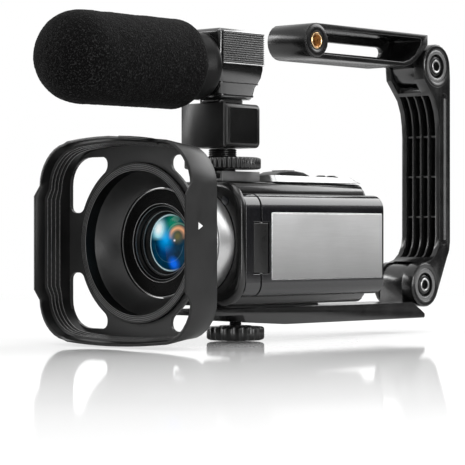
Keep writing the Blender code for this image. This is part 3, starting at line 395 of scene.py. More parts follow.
def glass_with_painted_reflections():
    """Front element: deep blue coating with painted reflections and highlights in cyan, green and amber
    across it, and a faint painted glow.
    """
    mat, tree, shader = new_material("glass_with_painted_reflections")
    spot = object_spot(tree)
    flat = arrow_sum(tree, "MULTIPLY_ADD", spot, (1000.0, 0.0, 1000.0), (0.0, 0.0, -LENS_HEIGHT))[0]
    place = parts_of(tree, flat)

    def away(centre):
        return arrow_sum(tree, "DISTANCE", flat, (centre[0], 0.0, centre[1]))["Value"]

    def soft(centre, near, far):
        return combined(tree, "POWER", spread(tree, away(centre), near, far, 1.0, 0.0), 1.6)

    def band(centre, radius, width):
        off = combined(tree, "ABSOLUTE", combined(tree, "SUBTRACT", away(centre), radius))
        return spread(tree, off, 0.0, width, 1.0, 0.0)

    def rising(low, high, most=1.0):
        return spread(tree, place["Z"], low, high, 0.0, most)

    middle = (0.0, 0.0)
    amber = (6.0, 3.2)
    upper = rising(0.8, 2.8)
    from_left = spread(tree, place["X"], 6.0, -4.0)
    # Painted reflections on the coating: soft patches, rings, a white highlight and a bright rim at the left.
    painted_reflections = (
        (soft((-1.5, -2.5), 1.0, 8.0), (0.0, 0.045, 0.20)),
        (soft((1.8, 10.0), 1.5, 7.5), (0.0, 0.20, 0.12)),
        (soft((-1.5, 2.0), 0.8, 7.5), (0.0, 0.36, 0.86)),
        (product(tree, soft((-7.0, 5.8), 2.0, 8.0), upper), (0.20, 0.80, 0.98)),
        (product(tree, soft((-7.2, 6.8), 1.4, 6.0), upper), (0.92, 1.0, 1.0)),
        (soft(amber, 0.8, 5.2), (0.14, 0.13, 0.05)),
        (product(tree, band(amber, 4.0, 1.7), rising(1.5, 6.0)), (0.85, 0.42, 0.22)),
        (product(tree, band(amber, 6.2, 0.7), rising(2.0, 8.0, 0.35)), (0.30, 0.60, 0.40)),
        (soft((4.4, 1.2), 0.2, 0.9), (0.95, 0.85, 0.90)),
        (soft((2.8, -10.0), 0.8, 4.6), (0.0, 0.16, 1.0)),
        (product(tree, band(middle, 9.4, 0.3), rising(1.0, -3.0, 0.3)), (0.10, 0.25, 0.35)),
        (product(tree, band(middle, 13.5, 0.6), from_left), (0.70, 0.92, 0.96)))
    wander = clouds(tree, spot, 260.0, 3.0)
    look = tinted(tree, spread(tree, wander, 0.35, 0.65),
                  shade((0.0, 0.015, 0.035)), shade((0.0, 0.035, 0.075)))
    for mask, colour in painted_reflections:
        look = tinted(tree, mask, look, shade(colour))
    tree.links.new(look, shader.inputs["Base Color"])
    # Painted glow: the same colours given off as light, though the glass is no lamp.
    tree.links.new(look, shader.inputs["Emission Color"])
    shader.inputs["Emission Strength"].default_value = 0.4
    tree.links.new(spread(tree, wander, 0.3, 0.7, 0.03, 0.07), shader.inputs["Roughness"])
    shader.inputs["Specular IOR Level"].default_value = 0.08
    mat["slot"] = "lens_glass"
    return mat


glass_blue = glass_with_painted_reflections()


# Ways of making pieces.
def at(axis, u, v, w):
    """Point from two coordinates across an axis and one along it."""
    if axis == "X":
        return (w, u, v)
    if axis == "Y":
        return (u, w, v)
    return (u, v, w)


def settle(name, bm, look, body, stands_for, ease, crease):
    """Make a mesh an object with its finish and eased edges, and let it ride."""
    mesh = bpy.data.meshes.new(name)
    bm.to_mesh(mesh)
    bm.free()
    mesh.materials.append(look)
    mesh.shade_smooth()
    obj = bpy.data.objects.new(name, mesh)
    scene.collection.objects.link(obj)
    if ease:
        soft = obj.modifiers.new("eased_edges", "BEVEL")
        soft.width = ease * 0.001
        soft.segments = 3
        soft.limit_method = "ANGLE"
        soft.angle_limit = math.radians(crease)
        soft.harden_normals = True
    else:
        mesh.set_sharp_from_angle(angle=math.radians(crease))
    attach(obj, body)
    if stands_for:
        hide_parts(*stands_for)
    return obj


def piece(name, bm, look, body="camera", stands_for=(), ease=0.0, crease=35.0):
    """Bring a drawn mesh home and settle it."""
    bmesh.ops.transform(bm, matrix=HOME, verts=bm.verts)
    return settle(name, bm, look, body, stands_for, ease, crease)


def softened(node, look, ease):
    """Copy of a solid with its edges eased."""
    source = frame["nodes"][node]
    bm = bmesh.new()
    bm.from_mesh(source.data)
    bmesh.ops.remove_doubles(bm, verts=bm.verts, dist=0.000002)
    bmesh.ops.dissolve_limit(bm, angle_limit=math.radians(0.6), verts=bm.verts, edges=bm.edges)
    return settle(node + "_skin", bm, look, source["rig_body"], (node,), ease, 32.0)


def kept(node, look):
    """Solid that stays as it is and takes a finish."""
    for place in frame["nodes"][node].material_slots:
        place.material = look


def second_finish(obj, look, chosen, centre=(0.0, 0.0), axis="Y"):
    """Give some faces another finish, picked by radius, place and slant about an axis."""
    obj.data.materials.append(look)
    for face in obj.data.polygons:
        spot = HOME.inverted() @ face.center
        along = spot.dot(ALONG[axis])
        middle = Vector(at(axis, *centre, along))
        if chosen((spot - middle).length, along, abs(face.normal.dot(ALONG[axis]))):
            face.material_index = len(obj.data.materials) - 1


def of_kind(made, kind):
    """Elements of one kind among what an operator made."""
    return [g for g in made if isinstance(g, kind)]


def everything(bm):
    return bm.verts[:] + bm.edges[:] + bm.faces[:]


def outward(bm):
    """Turn all faces outwards."""
    bmesh.ops.recalc_face_normals(bm, faces=bm.faces)
    return bm


def turned(line, axis="Y", centre=(0.0, 0.0), steps=96, closed=True):
    """Profile of radius and place along the axis, spun all the way round."""
    bm = bmesh.new()
    points = [bm.verts.new(at(axis, centre[0] + r, centre[1], w)) for r, w in line]
    edges = [bm.edges.new(pair) for pair in zip(points, points[1:])]
    if closed:
        edges.append(bm.edges.new((points[-1], points[0])))
    bmesh.ops.spin(bm, geom=points + edges, cent=at(axis, *centre, 0.0), axis=ALONG[axis],
                   angle=math.tau, steps=steps, use_merge=True)
    bmesh.ops.remove_doubles(bm, verts=bm.verts, dist=0.001)
    return outward(bm)


def drawn_out(bm, faces, step):
    """Extrude faces by a step."""
    grown = bmesh.ops.extrude_face_region(bm, geom=faces)["geom"]
    bmesh.ops.translate(bm, vec=step, verts=of_kind(grown, VERT))


def push(bm, axis, far):
    """Give a flat face its thickness."""
    drawn_out(bm, bm.faces[:], ALONG[axis] * far)
    return outward(bm)


def slab(outline, axis, low, high, rounding=0.0):
    """Flat outline with rounded corners, pushed from low to high."""
    bm = bmesh.new()
    points = [bm.verts.new(at(axis, u, v, low)) for u, v in outline]
    bm.faces.new(points)
    if rounding:
        bmesh.ops.bevel(bm, geom=points, offset=rounding, segments=6, profile=0.5,
                        affect="VERTICES", material=-1)
    return push(bm, axis, high - low)


def rectangle(low_u, low_v, high_u, high_v):
    return ((low_u, low_v), (high_u, low_v), (high_u, high_v), (low_u, high_v))


def block(low, high, rounding=0.0, axis="Z"):
    """Box between two corners, its edges along one axis rounded."""
    u, v, w = {"X": (1, 2, 0), "Y": (0, 2, 1), "Z": (0, 1, 2)}[axis]
    return slab(rectangle(low[u], low[v], high[u], high[v]), axis, low[w], high[w], rounding)


def joined(*parts):
    """Several meshes as one."""
    whole = bmesh.new()
    for part in parts:
        carrier = bpy.data.meshes.new("carrier")
        part.to_mesh(carrier)
        part.free()
        whole.from_mesh(carrier)
        bpy.data.meshes.remove(carrier)
    return whole


def repeated(bm, count, step):
    """Row of equal shapes, a step apart."""
    first = everything(bm)
    for i in range(1, count):
        made = bmesh.ops.duplicate(bm, geom=first)["geom"]
        bmesh.ops.translate(bm, vec=Vector(step) * i, verts=of_kind(made, VERT))
    return bm


def fluted(bm, centre, outer, count, bite, sharp=1.0):
    """Press grip flutes into the rim of a turned piece that stands on Z."""
    rim = 0.6
    for vert in bm.verts:
        dx = vert.co.x - centre[0]
        dy = vert.co.y - centre[1]
        r = math.hypot(dx, dy)
        if r > outer - rim:
            wave = 0.5 + 0.5 * math.cos(count * math.atan2(dy, dx))
            less = 1.0 - bite * wave ** sharp / r
            vert.co.x = centre[0] + dx * less
            vert.co.y = centre[1] + dy * less
    return bm


def outline_of(bm, points, rounds):
    """Closed outline without a face; some of its corners are rounded."""
    corners = [bm.verts.new(p) for p in points]
    bm.faces.new(corners)
    before = set(bm.verts) - set(corners)
    for offset, picks in rounds:
        bmesh.ops.bevel(bm, geom=[corners[i] for i in picks], offset=offset, segments=8, profile=0.5,
                        affect="VERTICES", material=-1)
    ring = [v for v in bm.verts if v not in before]
    face = [f for f in bm.faces if f.verts[0] in ring]
    bmesh.ops.delete(bm, geom=face, context="FACES_ONLY")
    return ring


# Lens hood: half width and half height of its rounded square, its depth, and
# how far its upper and lower edges arch.
HOOD_W = 48.8
HOOD_H = 42.7
HOOD_DEPTH = 21.0
HOOD_CORNER = 16.0
HOOD_FLARE = 2.2
HOOD_WALL = 1.6
BAFFLE_IN = 2.5
BREAK_X = 6.7
BREAK_Z = 21.7
CROWN_UP = 5.6
CROWN_DOWN = 3.6


def hood_crown(z):
    return CROWN_UP if z > 0.0 else CROWN_DOWN


def hood_edge(bm, y, inset=0.0):
    """Rounded square outline with break points beside the corner notches."""
    half = [(HOOD_W, HOOD_H)] + [(BREAK_X * i, HOOD_H) for i in range(4, -5, -1)]
    half += [(-HOOD_W, HOOD_H), (-HOOD_W, BREAK_Z), (-HOOD_W, -BREAK_Z)]
    outline = half + [(-x, -z) for x, z in half]
    ring = outline_of(bm, [(x, y, z) for x, z in outline], ((HOOD_CORNER, (0, 10, 13, 23)),))
    for v in ring:
        crown = hood_crown(v.co.z)
        v.co.z += math.copysign(crown * abs(v.co.z) / HOOD_H * (1.0 - (v.co.x / HOOD_W) ** 2), v.co.z)
        v.co.x *= (HOOD_W - inset) / HOOD_W
        v.co.z *= (HOOD_H + crown - inset) / (HOOD_H + crown)
    return ring


def hood_wall():
    """Flared wall drawn out step by step: outside, lip, and baffle ribs inside with their own finishes; the
    rib tops take a lighter grey as painted highlights.
    """
    notch_x = 30.0
    notch_z = 24.0
    notch_share = 0.82
    bm = bmesh.new()
    ring = hood_edge(bm, 2.0)
    rest = [v.co.copy() for v in ring]
    edges = bm.edges[:]
    first = edges
    line = [(0.0, 0.0, 0), (0.0, -20.2, 0), (0.25, -20.75, 0), (0.7, -HOOD_DEPTH, 0), (1.3, -HOOD_DEPTH, 0),
            (HOOD_WALL, -20.6, 1)]
    for part in (0.68, 0.57, 0.45, 0.33):
        y = -HOOD_DEPTH * part
        line += [(HOOD_WALL, y - 1.0, 1), (BAFFLE_IN, y - 0.25, 1), (BAFFLE_IN, y + 0.25, 2),
                 (HOOD_WALL, y + 0.6, 1)]
    line.append((HOOD_WALL, 1.0, 1))
    for inset, y, coat in line:
        grown = bmesh.ops.extrude_edge_only(bm, edges=edges)["geom"]
        ring = of_kind(grown, VERT)
        edges = of_kind(grown, EDGE)
        for wall in of_kind(grown, FACE):
            wall.material_index = coat
        lean = HOOD_FLARE * max(-y, 0.0) / HOOD_DEPTH
        for v, home in zip(ring, rest):
            side = (HOOD_W + lean - inset) / HOOD_W
            tall = HOOD_H + hood_crown(home.z)
            rise = (tall + lean - inset) / tall
            notch = abs(home.x) > notch_x and abs(home.z) > notch_z and y < 0.0
            v.co = Vector((home.x * side, y * (notch_share if notch else 1.0), home.z * rise))
    bmesh.ops.bridge_loops(bm, edges=first + edges)
    return outward(bm)


def hood_plate():
    """Plate round the lens opening with a window in each corner."""
    bend_r = 41.0
    inner = 21.2
    outer = 46.6
    foot = 14.6
    head = 41.5
    bm = bmesh.new()
    hood_edge(bm, 0.0, 0.8)
    bmesh.ops.create_circle(bm, segments=120, radius=37.3, matrix=UPRIGHT)
    low = math.asin(foot / bend_r)
    high = math.acos(inner / bend_r)
    bend = [low + (high - low) * i / 10 for i in range(11)]
    window = [(bend_r * math.cos(a), bend_r * math.sin(a)) for a in bend]
    window += [(inner, head), (outer, head), (outer, foot)]
    for sx in (1, -1):
        for sz in (1, -1):
            outline_of(bm, [(sx * x, 0.0, sz * z) for x, z in window],
                       ((13.6, (12,)), (3.4, (11, 13)), (2.4, (0, 10))))
    bmesh.ops.triangle_fill(bm, use_beauty=True, edges=bm.edges, normal=(0, -1, 0))
    return push(bm, "Y", 1.9)


hood = piece("hood_wall", hood_wall(), hood_black, stands_for=("hood_frame",), crease=38.0)
# Inside of the wall in deep matt black; the rib tops in lighter grey are painted highlights.
hood.data.materials.append(baffle_black_and_painted_shade)
hood.data.materials.append(grey_metal_and_painted_highlight)
piece("hood_plate", hood_plate(), hood_grey, ease=0.4, crease=40.0)

# Index mark, leaning with the hood's side.
SIDE_LEAN = 0.105
arrow = slab(((-12.0, 6.3), (-8.6, 8.0), (-12.0, 9.7)), "X", 49.6, 49.9)
for v in arrow.verts:
    v.co.x -= (v.co.y + 10.3) * SIDE_LEAN
piece("hood_index", arrow, mark_white)

# Ring of the hood: grooved flange, then the dish down to the lens.
FLANGE_FACE = -1.6
GROOVE_FOOT = -1.1
line = [(38.5, -0.3), (38.5, -1.3), (38.2, FLANGE_FACE)]
for i in range(4):
    r = 37.85 - 0.8 * i
    line += [(r, FLANGE_FACE), (r - 0.1, GROOVE_FOOT), (r - 0.3, GROOVE_FOOT), (r - 0.4, FLANGE_FACE)]
line += [(34.75, FLANGE_FACE), (34.6, -1.45), (34.5, 4.7)]
for i in range(11):
    a = i / 10.0
    line.append((34.3 - 7.55 * a, 5.0 + 13.06 * a - 3.36 * a * a))
line += [(26.75, 16.5), (28.5, 16.5), (28.5, 14.8), (36.2, 4.0), (37.0, 3.0), (37.0, -0.3)]
ring = piece("hood_ring", turned(line, steps=144), dish_black, stands_for=("hood_step_ring",), crease=28.0)
second_finish(ring, hood_grey, lambda r, y, slant: r > 34.6 and y < -0.9)
# The wall at the dish's edge and the groove floors take the deep black as painted shade.
second_finish(ring, baffle_black_and_painted_shade,
              lambda r, y, slant: abs(r - 34.55) < 0.1 or (r > 34.8 and -1.5 < y < -1.0))
# The front faces of the flange crests take a lighter grey as painted highlights for the thread lines.
second_finish(ring, grey_metal_and_painted_highlight, lambda r, y, slant: 35.0 < r < 37.5 and y < -1.59 and slant > 0.9)

# Wide lens: barrel with a grooved face, and its knurl.
LENS_FACE = 15.5
KNURLS = 60
line = [(26.3, 16.1), (26.3, 15.75), (26.05, LENS_FACE), (25.6, LENS_FACE), (25.35, 15.75)]
for i in range(9):
    r = 25.2 - 0.66 * i
    line += [(r, 15.55), (r - 0.22, 15.55), (r - 0.33, 15.8), (r - 0.55, 15.8)]
line += [(19.2, LENS_FACE), (18.85, LENS_FACE), (18.6, 15.75), (18.6, 22.5), (16.8, 22.5), (16.8, 28.0),
         (14.5, 28.0), (14.5, 33.0), (18.6, 33.0), (18.6, 24.6), (24.3, 24.6), (25.2, 23.8), (25.2, 17.8),
         (24.6, 17.3), (26.3, 17.1)]
piece("lens_barrel", turned(line, steps=144), lens_black, stands_for=("wide_lens_barrel",), crease=28.0)
rib = block((24.7, 17.9, -0.7), (25.5, 23.6, 0.7), 0.2, "Y")
bmesh.ops.spin(rib, geom=everything(rib), cent=(0, 0, 0), axis=(0, 1, 0),
               angle=math.tau * (KNURLS - 1) / KNURLS, steps=KNURLS - 1, use_duplicate=True)
piece("barrel_knurl", rib, lens_black)

# Stepped ring that holds the glass, and thin lighter rings at the edges of the lens and the flange, painted
# highlights for their bright edge lines.
line = [(18.3, 16.2), (18.3, 22.2), (14.0, 22.2), (14.0, 21.4), (14.3, 21.1), (15.0, 20.8), (15.2, 20.6),
        (15.2, 19.4), (15.4, 19.15), (16.1, 18.9), (16.35, 18.7), (16.5, 17.6), (16.7, 17.4), (17.4, 16.9),
        (17.7, 16.4), (18.0, 16.1)]
piece("retaining_ring", turned(line, steps=120), lens_black, stands_for=("lens_retaining_ring",), crease=28.0)
for name, r, y, w, look in (
        ("lens_edge", 26.05, LENS_FACE, 0.24, painted_edge_highlight), ("well_edge", 19.0, LENS_FACE, 0.2, painted_edge_highlight),
        ("retainer_edge", 17.75, 16.25, 0.12, painted_edge_highlight), ("glass_edge", 15.35, 19.1, 0.16, painted_edge_highlight),
        ("flange_edge", 34.78, -1.55, 0.16, grey_metal_and_painted_highlight)):
    line = [(r - w, y), (r - 0.5 * w, y - 0.14), (r + 0.5 * w, y - 0.14), (r + w, y), (r + w, y + 0.3),
            (r - w, y + 0.3)]
    piece(name, turned(line, steps=144), look, crease=60.0)

# Front glass and silver ring.
GLASS_TOP = 19.9
line = [(0.0, GLASS_TOP)]
for i in range(1, 13):
    a = i / 12.0
    line.append((13.9 * a, GLASS_TOP + 2.4 * a * a))
line += [(14.3, 22.7), (16.5, 22.7), (16.5, 27.7), (0.0, 27.7)]
piece("front_glass", turned(line, steps=120, closed=False), glass_blue, stands_for=("wide_lens_glass",))
line = [(25.8, 25.0), (26.2, 25.1), (26.4, 25.4), (26.4, 26.5), (26.15, 26.7), (26.15, 27.5), (26.5, 27.6),
        (26.85, 27.75), (27.0, 28.1), (27.0, 37.9), (26.8, 38.5), (26.4, 38.7), (23.9, 38.7),
        (23.9, 34.0), (18.9, 34.0), (18.9, 25.0)]
piece("silver_ring", turned(line, steps=160), ring_silver, stands_for=("silver_adapter_ring",), crease=30.0)

# Camera body.
softened("front_cover", gloss_black, 0.6)
softened("body_shell_screen_side", gloss_black, 0.5)
softened("body_shell_grip_side", satin_black, 0.5)


def top_trim():
    """Silver top with sloping sides, open for the zoom lever and the buttons."""
    foot = 30.4
    shoulder = 32.0
    every = (0, 1, 2, 3)
    bm = bmesh.new()
    outline_of(bm, [(x, y, foot) for x, y in rectangle(-14.4, 78.6, 17.4, 149.0)], ((3.0, every),))
    outline_of(bm, [(x, y, foot) for x, y in rectangle(0.6, 81.2, 13.4, 113.9)], ((0.8, every),))
    for x, y in (PHOTO_AXIS, MODE_AXIS):
        bmesh.ops.create_circle(bm, segments=40, radius=2.9, matrix=Matrix.Translation((x, y, foot)))
    bmesh.ops.triangle_fill(bm, use_beauty=True, edges=bm.edges, normal=(0, 0, 1))
    push(bm, "Z", 3.3)
    for v in bm.verts:
        rim = v.co.x > 13.9 or v.co.x < -10.9 or v.co.y < 81.0 or v.co.y > 145.5
        if v.co.z > shoulder and rim:
            v.co.x = 1.5 + (v.co.x - 1.5) * 0.84
            v.co.y += 1.0 if v.co.y < 90.0 else -5.0
        if v.co.z > shoulder:
            v.co.z -= max(v.co.y - 100.0, 0.0) * 0.012
    return bm


piece("top_trim", top_trim(), trim_silver, stands_for=("top_cover",), ease=0.3, crease=30.0)
softened("rear_cover", satin_black, 0.5)
softened("battery_pack", battery_grey, 0.3)
softened("record_button", chrome, 0.25)
softened("battery_latch", battery_grey, 0.4)
softened("zoom_lever", satin_black, 0.5)
softened("photo_button", satin_black, 0.25)
softened("mode_button", satin_black, 0.25)
softened("accessory_shoe", shoe_grey, 0.25)
softened("lcd_hinge_block", satin_black, 0.5)

# Folding screen.
HINGE_TOP = 10.1
HINGE_LOW = -15.1
SCREEN_IN = 21.0


def panel_section(inner):
    """Outline of the folding screen seen along the camera, with break points at the hinge block."""
    def bend(i, middle, reach):
        a = math.radians(7.5 * i)
        return (inner + 0.8 + (29.2 - inner) * math.cos(a) ** 0.85, middle + reach * math.sin(a) ** 0.85)

    line = [bend(i, 15.8, 8.4) for i in range(13)]
    line += [(inner, 23.4), (inner, HINGE_TOP), (inner, HINGE_LOW), (inner, -25.8)]
    line += [bend(i, -19.2, -7.4) for i in range(12, -1, -1)]
    return line + [(30.0, HINGE_LOW), (30.0, HINGE_TOP)]


def lies_at(face, y):
    return all(abs(v.co.y - y) < TOUCHING for v in face.verts)


def panel(inner, notch, far, near):
    """Length of that section with a gap for the hinge block at one end."""
    bm = bmesh.new()
    bm.faces.new([bm.verts.new((x, notch, z)) for x, z in panel_section(inner)])
    push(bm, "Y", far - notch)
    for level in (HINGE_TOP, HINGE_LOW):
        for f in [f for f in bm.faces if lies_at(f, notch)]:
            ends = [v for v in f.verts if abs(v.co.z - level) < TOUCHING]
            if len(ends) == 2 and len(f.verts) > 4:
                bmesh.utils.face_split(f, *ends)
                break
    for f in bm.faces[:]:
        if lies_at(f, notch) and not HINGE_LOW < f.calc_center_median().z < HINGE_TOP:
            drawn_out(bm, [f], (0.0, near - notch, 0.0))
            if f.is_valid:
                bmesh.ops.delete(bm, geom=[f], context="FACES_ONLY")
    return outward(bm)


def screen_shell():
    """Folding screen with a well for its glass on the inner side."""
    front, back, low, high = 65.2, 145.8, -22.4, 20.0
    bm = panel(SCREEN_IN, 60.8, 150.5, 54.9)
    for spot, axis in (((0, front, 0), "Y"), ((0, back, 0), "Y"), ((0, 0, high), "Z"), ((0, 0, low), "Z")):
        bmesh.ops.bisect_plane(bm, geom=everything(bm), plane_co=spot, plane_no=ALONG[axis])
    well = []
    for f in bm.faces:
        mid = f.calc_center_median()
        if abs(mid.x - SCREEN_IN) < TOUCHING and front < mid.y < back and low < mid.z < high:
            well.append(f)
    drawn_out(bm, well, (1.4, 0.0, 0.0))
    bmesh.ops.delete(bm, geom=[f for f in well if f.is_valid], context="FACES_ONLY")
    return outward(bm)


piece("hinge_cover", joined(panel(20.5, 49.0, 43.3, 54.1), block((20.5, 48.9, -15.3), (21.7, 54.0, 10.3))),
      gunmetal, stands_for=("hinge_housing",), ease=0.4)
piece("screen_shell", screen_shell(), gunmetal, body="screen", stands_for=("lcd_shell",), ease=0.45)
softened("lcd_screen", screen_black, 0.3)
softened("strap_lug_front", satin_black, 0.6)
softened("strap_lug_rear", satin_black, 0.6)
cover = block((29.4, 62.4, -17.8), (30.28, 148.9, 14.4), 0.6, "X")
piece("screen_cover_plate", cover, plate_silver, body="screen", stands_for=("lcd_cover_plate",), ease=0.15)
rim = block((29.4, 62.0, -18.2), (30.14, 149.3, 14.8), 0.8, "X")
piece("cover_plate_rim", rim, chrome, body="screen", ease=0.12)
picture = block((20.98, 70.5, -18.0), (21.2, 140.5, 15.6), 1.0, "X")
piece("screen_picture", picture, picture_dark, body="screen")
kept("lens_tube", lens_black)
kept("lens_front_element", glass_blue)
kept("sensor_board", board_green)
kept("main_board", board_green)
kept("tripod_bush", brass)
kept("lcd_hinge_pin", steel)

# Small parts of the side, the rear and the top.
hole = [(0.75, 20.25), (0.75, 20.42), (0.6, 20.5), (0.45, 20.42), (0.3, 20.27), (0.0, 20.25)]
grille = repeated(turned(hole, "X", (124.0, 6.0), 16, False), 6, (0.0, 2.6, 0.0))
piece("speaker_grille", repeated(grille, 5, (0.0, 0.0, 2.6)), satin_black)
side_key = block((20.2, 74.0, 8.0), (20.7, 81.0, 11.6), 1.7, "X")
piece("side_keys", repeated(side_key, 4, (0.0, 10.5, 0.0)), battery_grey, ease=0.2)
piece("card_door", block((20.2, 76.0, -20.0), (20.6, 118.0, -4.0), 1.6, "X"), satin_black, ease=0.2)
piece("card_door_lip", block((20.5, 111.0, -15.0), (20.75, 114.0, -9.0), 1.2, "X"), rubber, ease=0.1)
piece("battery_panel", block((-16.0, 152.5, -13.0), (7.3, 152.85, 7.0), 1.4, "Y"), satin_black, ease=0.15)
rib = block((-11.0, 152.5, 10.6), (2.3, 153.15, 11.3), 0.3, "Y")
piece("battery_ribs", repeated(rib, 5, (0.0, 0.0, 1.4)), battery_grey, ease=0.15)
rib = block((-7.2, 150.2, -25.3), (-6.5, 150.9, -22.7), 0.3, "Y")
piece("latch_ribs", repeated(rib, 4, (1.67, 0.0, 0.0)), battery_grey, body="latch", ease=0.15)
line = [(3.0, 149.3), (4.3, 149.3), (4.2, 149.8), (3.9, 150.0), (3.3, 150.0), (3.0, 149.8)]
piece("record_rim", turned(line, centre=RECORD_AXIS, steps=48), chrome)
line = [(1.1, 150.6), (1.1, 150.78), (0.9, 150.85), (0.0, 150.87), (0.0, 150.6)]
piece("record_mark", turned(line, centre=RECORD_AXIS, steps=32), signal_red, body="record")
piece("port_flap", block((13.6, 149.2, -21.5), (18.9, 149.85, -2.5), 1.6, "Y"), rubber, ease=0.2)
piece("port_flap_lip", block((14.6, 149.7, -6.4), (17.9, 150.3, -4.6), 0.8, "Y"), rubber, ease=0.2)
line = [(1.0, 149.3), (1.0, 149.6), (0.6, 149.85), (0.0, 149.9)]
piece("status_light", turned(line, centre=(16.3, 16.5), steps=24, closed=False), signal_red)
rib = block((2.4, 93.9, 35.7), (11.6, 94.6, 36.5), 0.3, "X")
piece("zoom_ribs", repeated(rib, 5, (0.0, 1.6, 0.0)), battery_grey, body="zoom", ease=0.15)
line = [(2.75, 31.2), (3.5, 31.2), (3.5, 33.6), (3.3, 33.8), (2.95, 33.8), (2.75, 33.6)]
for name, centre in (("photo_rim", PHOTO_AXIS), ("mode_rim", MODE_AXIS)):
    piece(name, turned(line, "Z", centre, 48), gunmetal)
piece("grip_pad", block((-27.45, 56.0, -17.5), (-26.8, 133.0, 17.5), 6.0, "X"), leather, ease=0.25)
line = [(2.6, 38.9), (2.6, 39.6), (0.0, 39.6), (0.0, 38.75), (1.6, 38.8), (2.2, 38.9)]
piece("front_lamp", turned(line, centre=(20.0, 20.5), steps=48, closed=False), screen_black)

# Hand strap: padded band bent round the hand, stitched along both edges.
STRAP_FRONT = 48.0
STRAP_SPAN = 93.3
STRAP_SIDE = -29.95
STRAP_BULGE = 15.0
STRAP_EDGE = 15.0


def strap_reach(y):
    """How far out the band lies at a place along the camera."""
    f = min(max((y - STRAP_FRONT) / STRAP_SPAN, 0.0), 1.0)
    return STRAP_SIDE - STRAP_BULGE * math.sin(math.pi * f) ** 0.8


def strap_sheet(cells, front, length, width, stand, crown, thickness):
    """Sheet bent along the strap, standing off it and crowned along its middle."""
    bm = bmesh.new()
    bmesh.ops.create_grid(bm, x_segments=cells[0], y_segments=cells[1], size=0.5)
    for v in bm.verts:
        y = front + length * (v.co.x + 0.5)
        proud = stand + crown * (1.0 - (2.0 * v.co.y) ** 4)
        v.co = Vector((strap_reach(y) - proud, y, width * v.co.y))
    outward(bm)
    bmesh.ops.solidify(bm, geom=bm.faces[:], thickness=thickness)
    return outward(bm)


def hand_pad():
    """Crowned band with rounded edges."""
    bm = strap_sheet((56, 16), 48.3, 92.7, 31.4, 0.0, 0.25, 2.4)
    edge = [e for e in bm.edges if e.calc_face_angle(0.0) > 0.9]
    bmesh.ops.bevel(bm, geom=edge, offset=0.8, segments=3, profile=0.5, affect="EDGES", material=-1)
    return bm


def strap_piping(z):
    """Round binding along one edge of the strap."""
    bm = bmesh.new()
    bmesh.ops.create_circle(bm, segments=12, radius=0.9, matrix=UPRIGHT)
    ring = bm.verts[:]
    edges = bm.edges[:]
    home = [v.co.copy() for v in ring]
    steps = 60
    for i in range(steps + 1):
        y = 49.2 + 90.9 * i / steps
        if i:
            grown = bmesh.ops.extrude_edge_only(bm, edges=edges)["geom"]
            ring = of_kind(grown, VERT)
            edges = of_kind(grown, EDGE)
        for v, c in zip(ring, home):
            v.co = Vector((strap_reach(y) + 1.0 + c.x, y, z + c.z))
    bmesh.ops.holes_fill(bm, edges=bm.edges)
    return outward(bm)


def strap_stitches(z):
    """Row of short threads that follow the bend."""
    rows = []
    count = 30
    for i in range(count):
        y = 52.5 + 84.0 * i / (count - 1)
        lean = strap_reach(y + 0.5) - strap_reach(y - 0.5)
        stitch = block((-0.22, -0.75, -0.22), (0.22, 0.75, 0.22), 0.2, "Y")
        turn = Matrix.Translation((strap_reach(y) - 0.28, y, z)) @ Matrix.Rotation(-math.atan(lean), 4, "Z")
        bmesh.ops.transform(stitch, matrix=turn, verts=stitch.verts)
        rows.append(stitch)
    return joined(*rows)


strap = piece("hand_strap_pad", hand_pad(), strap_weave, stands_for=("hand_strap",), crease=60.0)
for name, z in (("upper", STRAP_EDGE), ("lower", -STRAP_EDGE)):
    piece("strap_piping_" + name, strap_piping(z), strap_lining, crease=70.0)
    piece("strap_stitches_" + name, strap_stitches(z * 0.86), thread_grey)
tab = strap_sheet((30, 10), 104.0, 33.0, 22.0, 0.3, 0.0, 0.8)
piece("strap_tab", tab, strap_lining, crease=60.0)

# Microphone.
FOAM_R = 21.8
FOAM_TIP = -59.5
FOAM_NOSE = 21.0
FOAM_LENGTH = 61.5
MIC_FRONT = 43.5
MIC_BACK = 73.5


def foam_cover():
    """Dense turned foam with an uneven open-cell skin."""
    line = [(0.0, FOAM_TIP)]
    for i in range(1, 30):
        a = math.radians(90.0 * i / 30)
        line.append((FOAM_R * math.sin(a) ** 0.95, FOAM_TIP + FOAM_NOSE * (1.0 - math.cos(a) ** 0.95)))
    line += [(FOAM_R, FOAM_TIP + FOAM_NOSE + FOAM_LENGTH * i / 80) for i in range(81)]
    for i in range(1, 9):
        a = math.radians(8.0 * i)
        line.append((16.3 + 5.5 * math.cos(a), 23.0 + 6.0 * math.sin(a)))
    line += [(17.0, 28.45), (15.5, 28.5), (13.0, 28.5), (10.7, 28.4), (10.7, 16.0)]
    bm = turned(line, centre=MIC_AXIS, steps=220, closed=False)
    for v in bm.verts:
        lump = noise.noise(v.co * 0.9) * 0.16 + noise.noise(v.co * 0.12) * 0.25
        v.co += v.normal * lump
    return bm


foam = piece("foam_windscreen", foam_cover(), foam_black, stands_for=("mic_windscreen",), crease=80.0)
softened("mic_collar", collar_black, 0.4)
softened("mic_body", deep_gloss, 0.5)
softened("mic_power_box", satin_black, 0.4)
softened("mic_front_cap", satin_black, 0.5)
softened("mic_switch", battery_grey, 0.4)
softened("mic_foot", satin_black, 0.3)

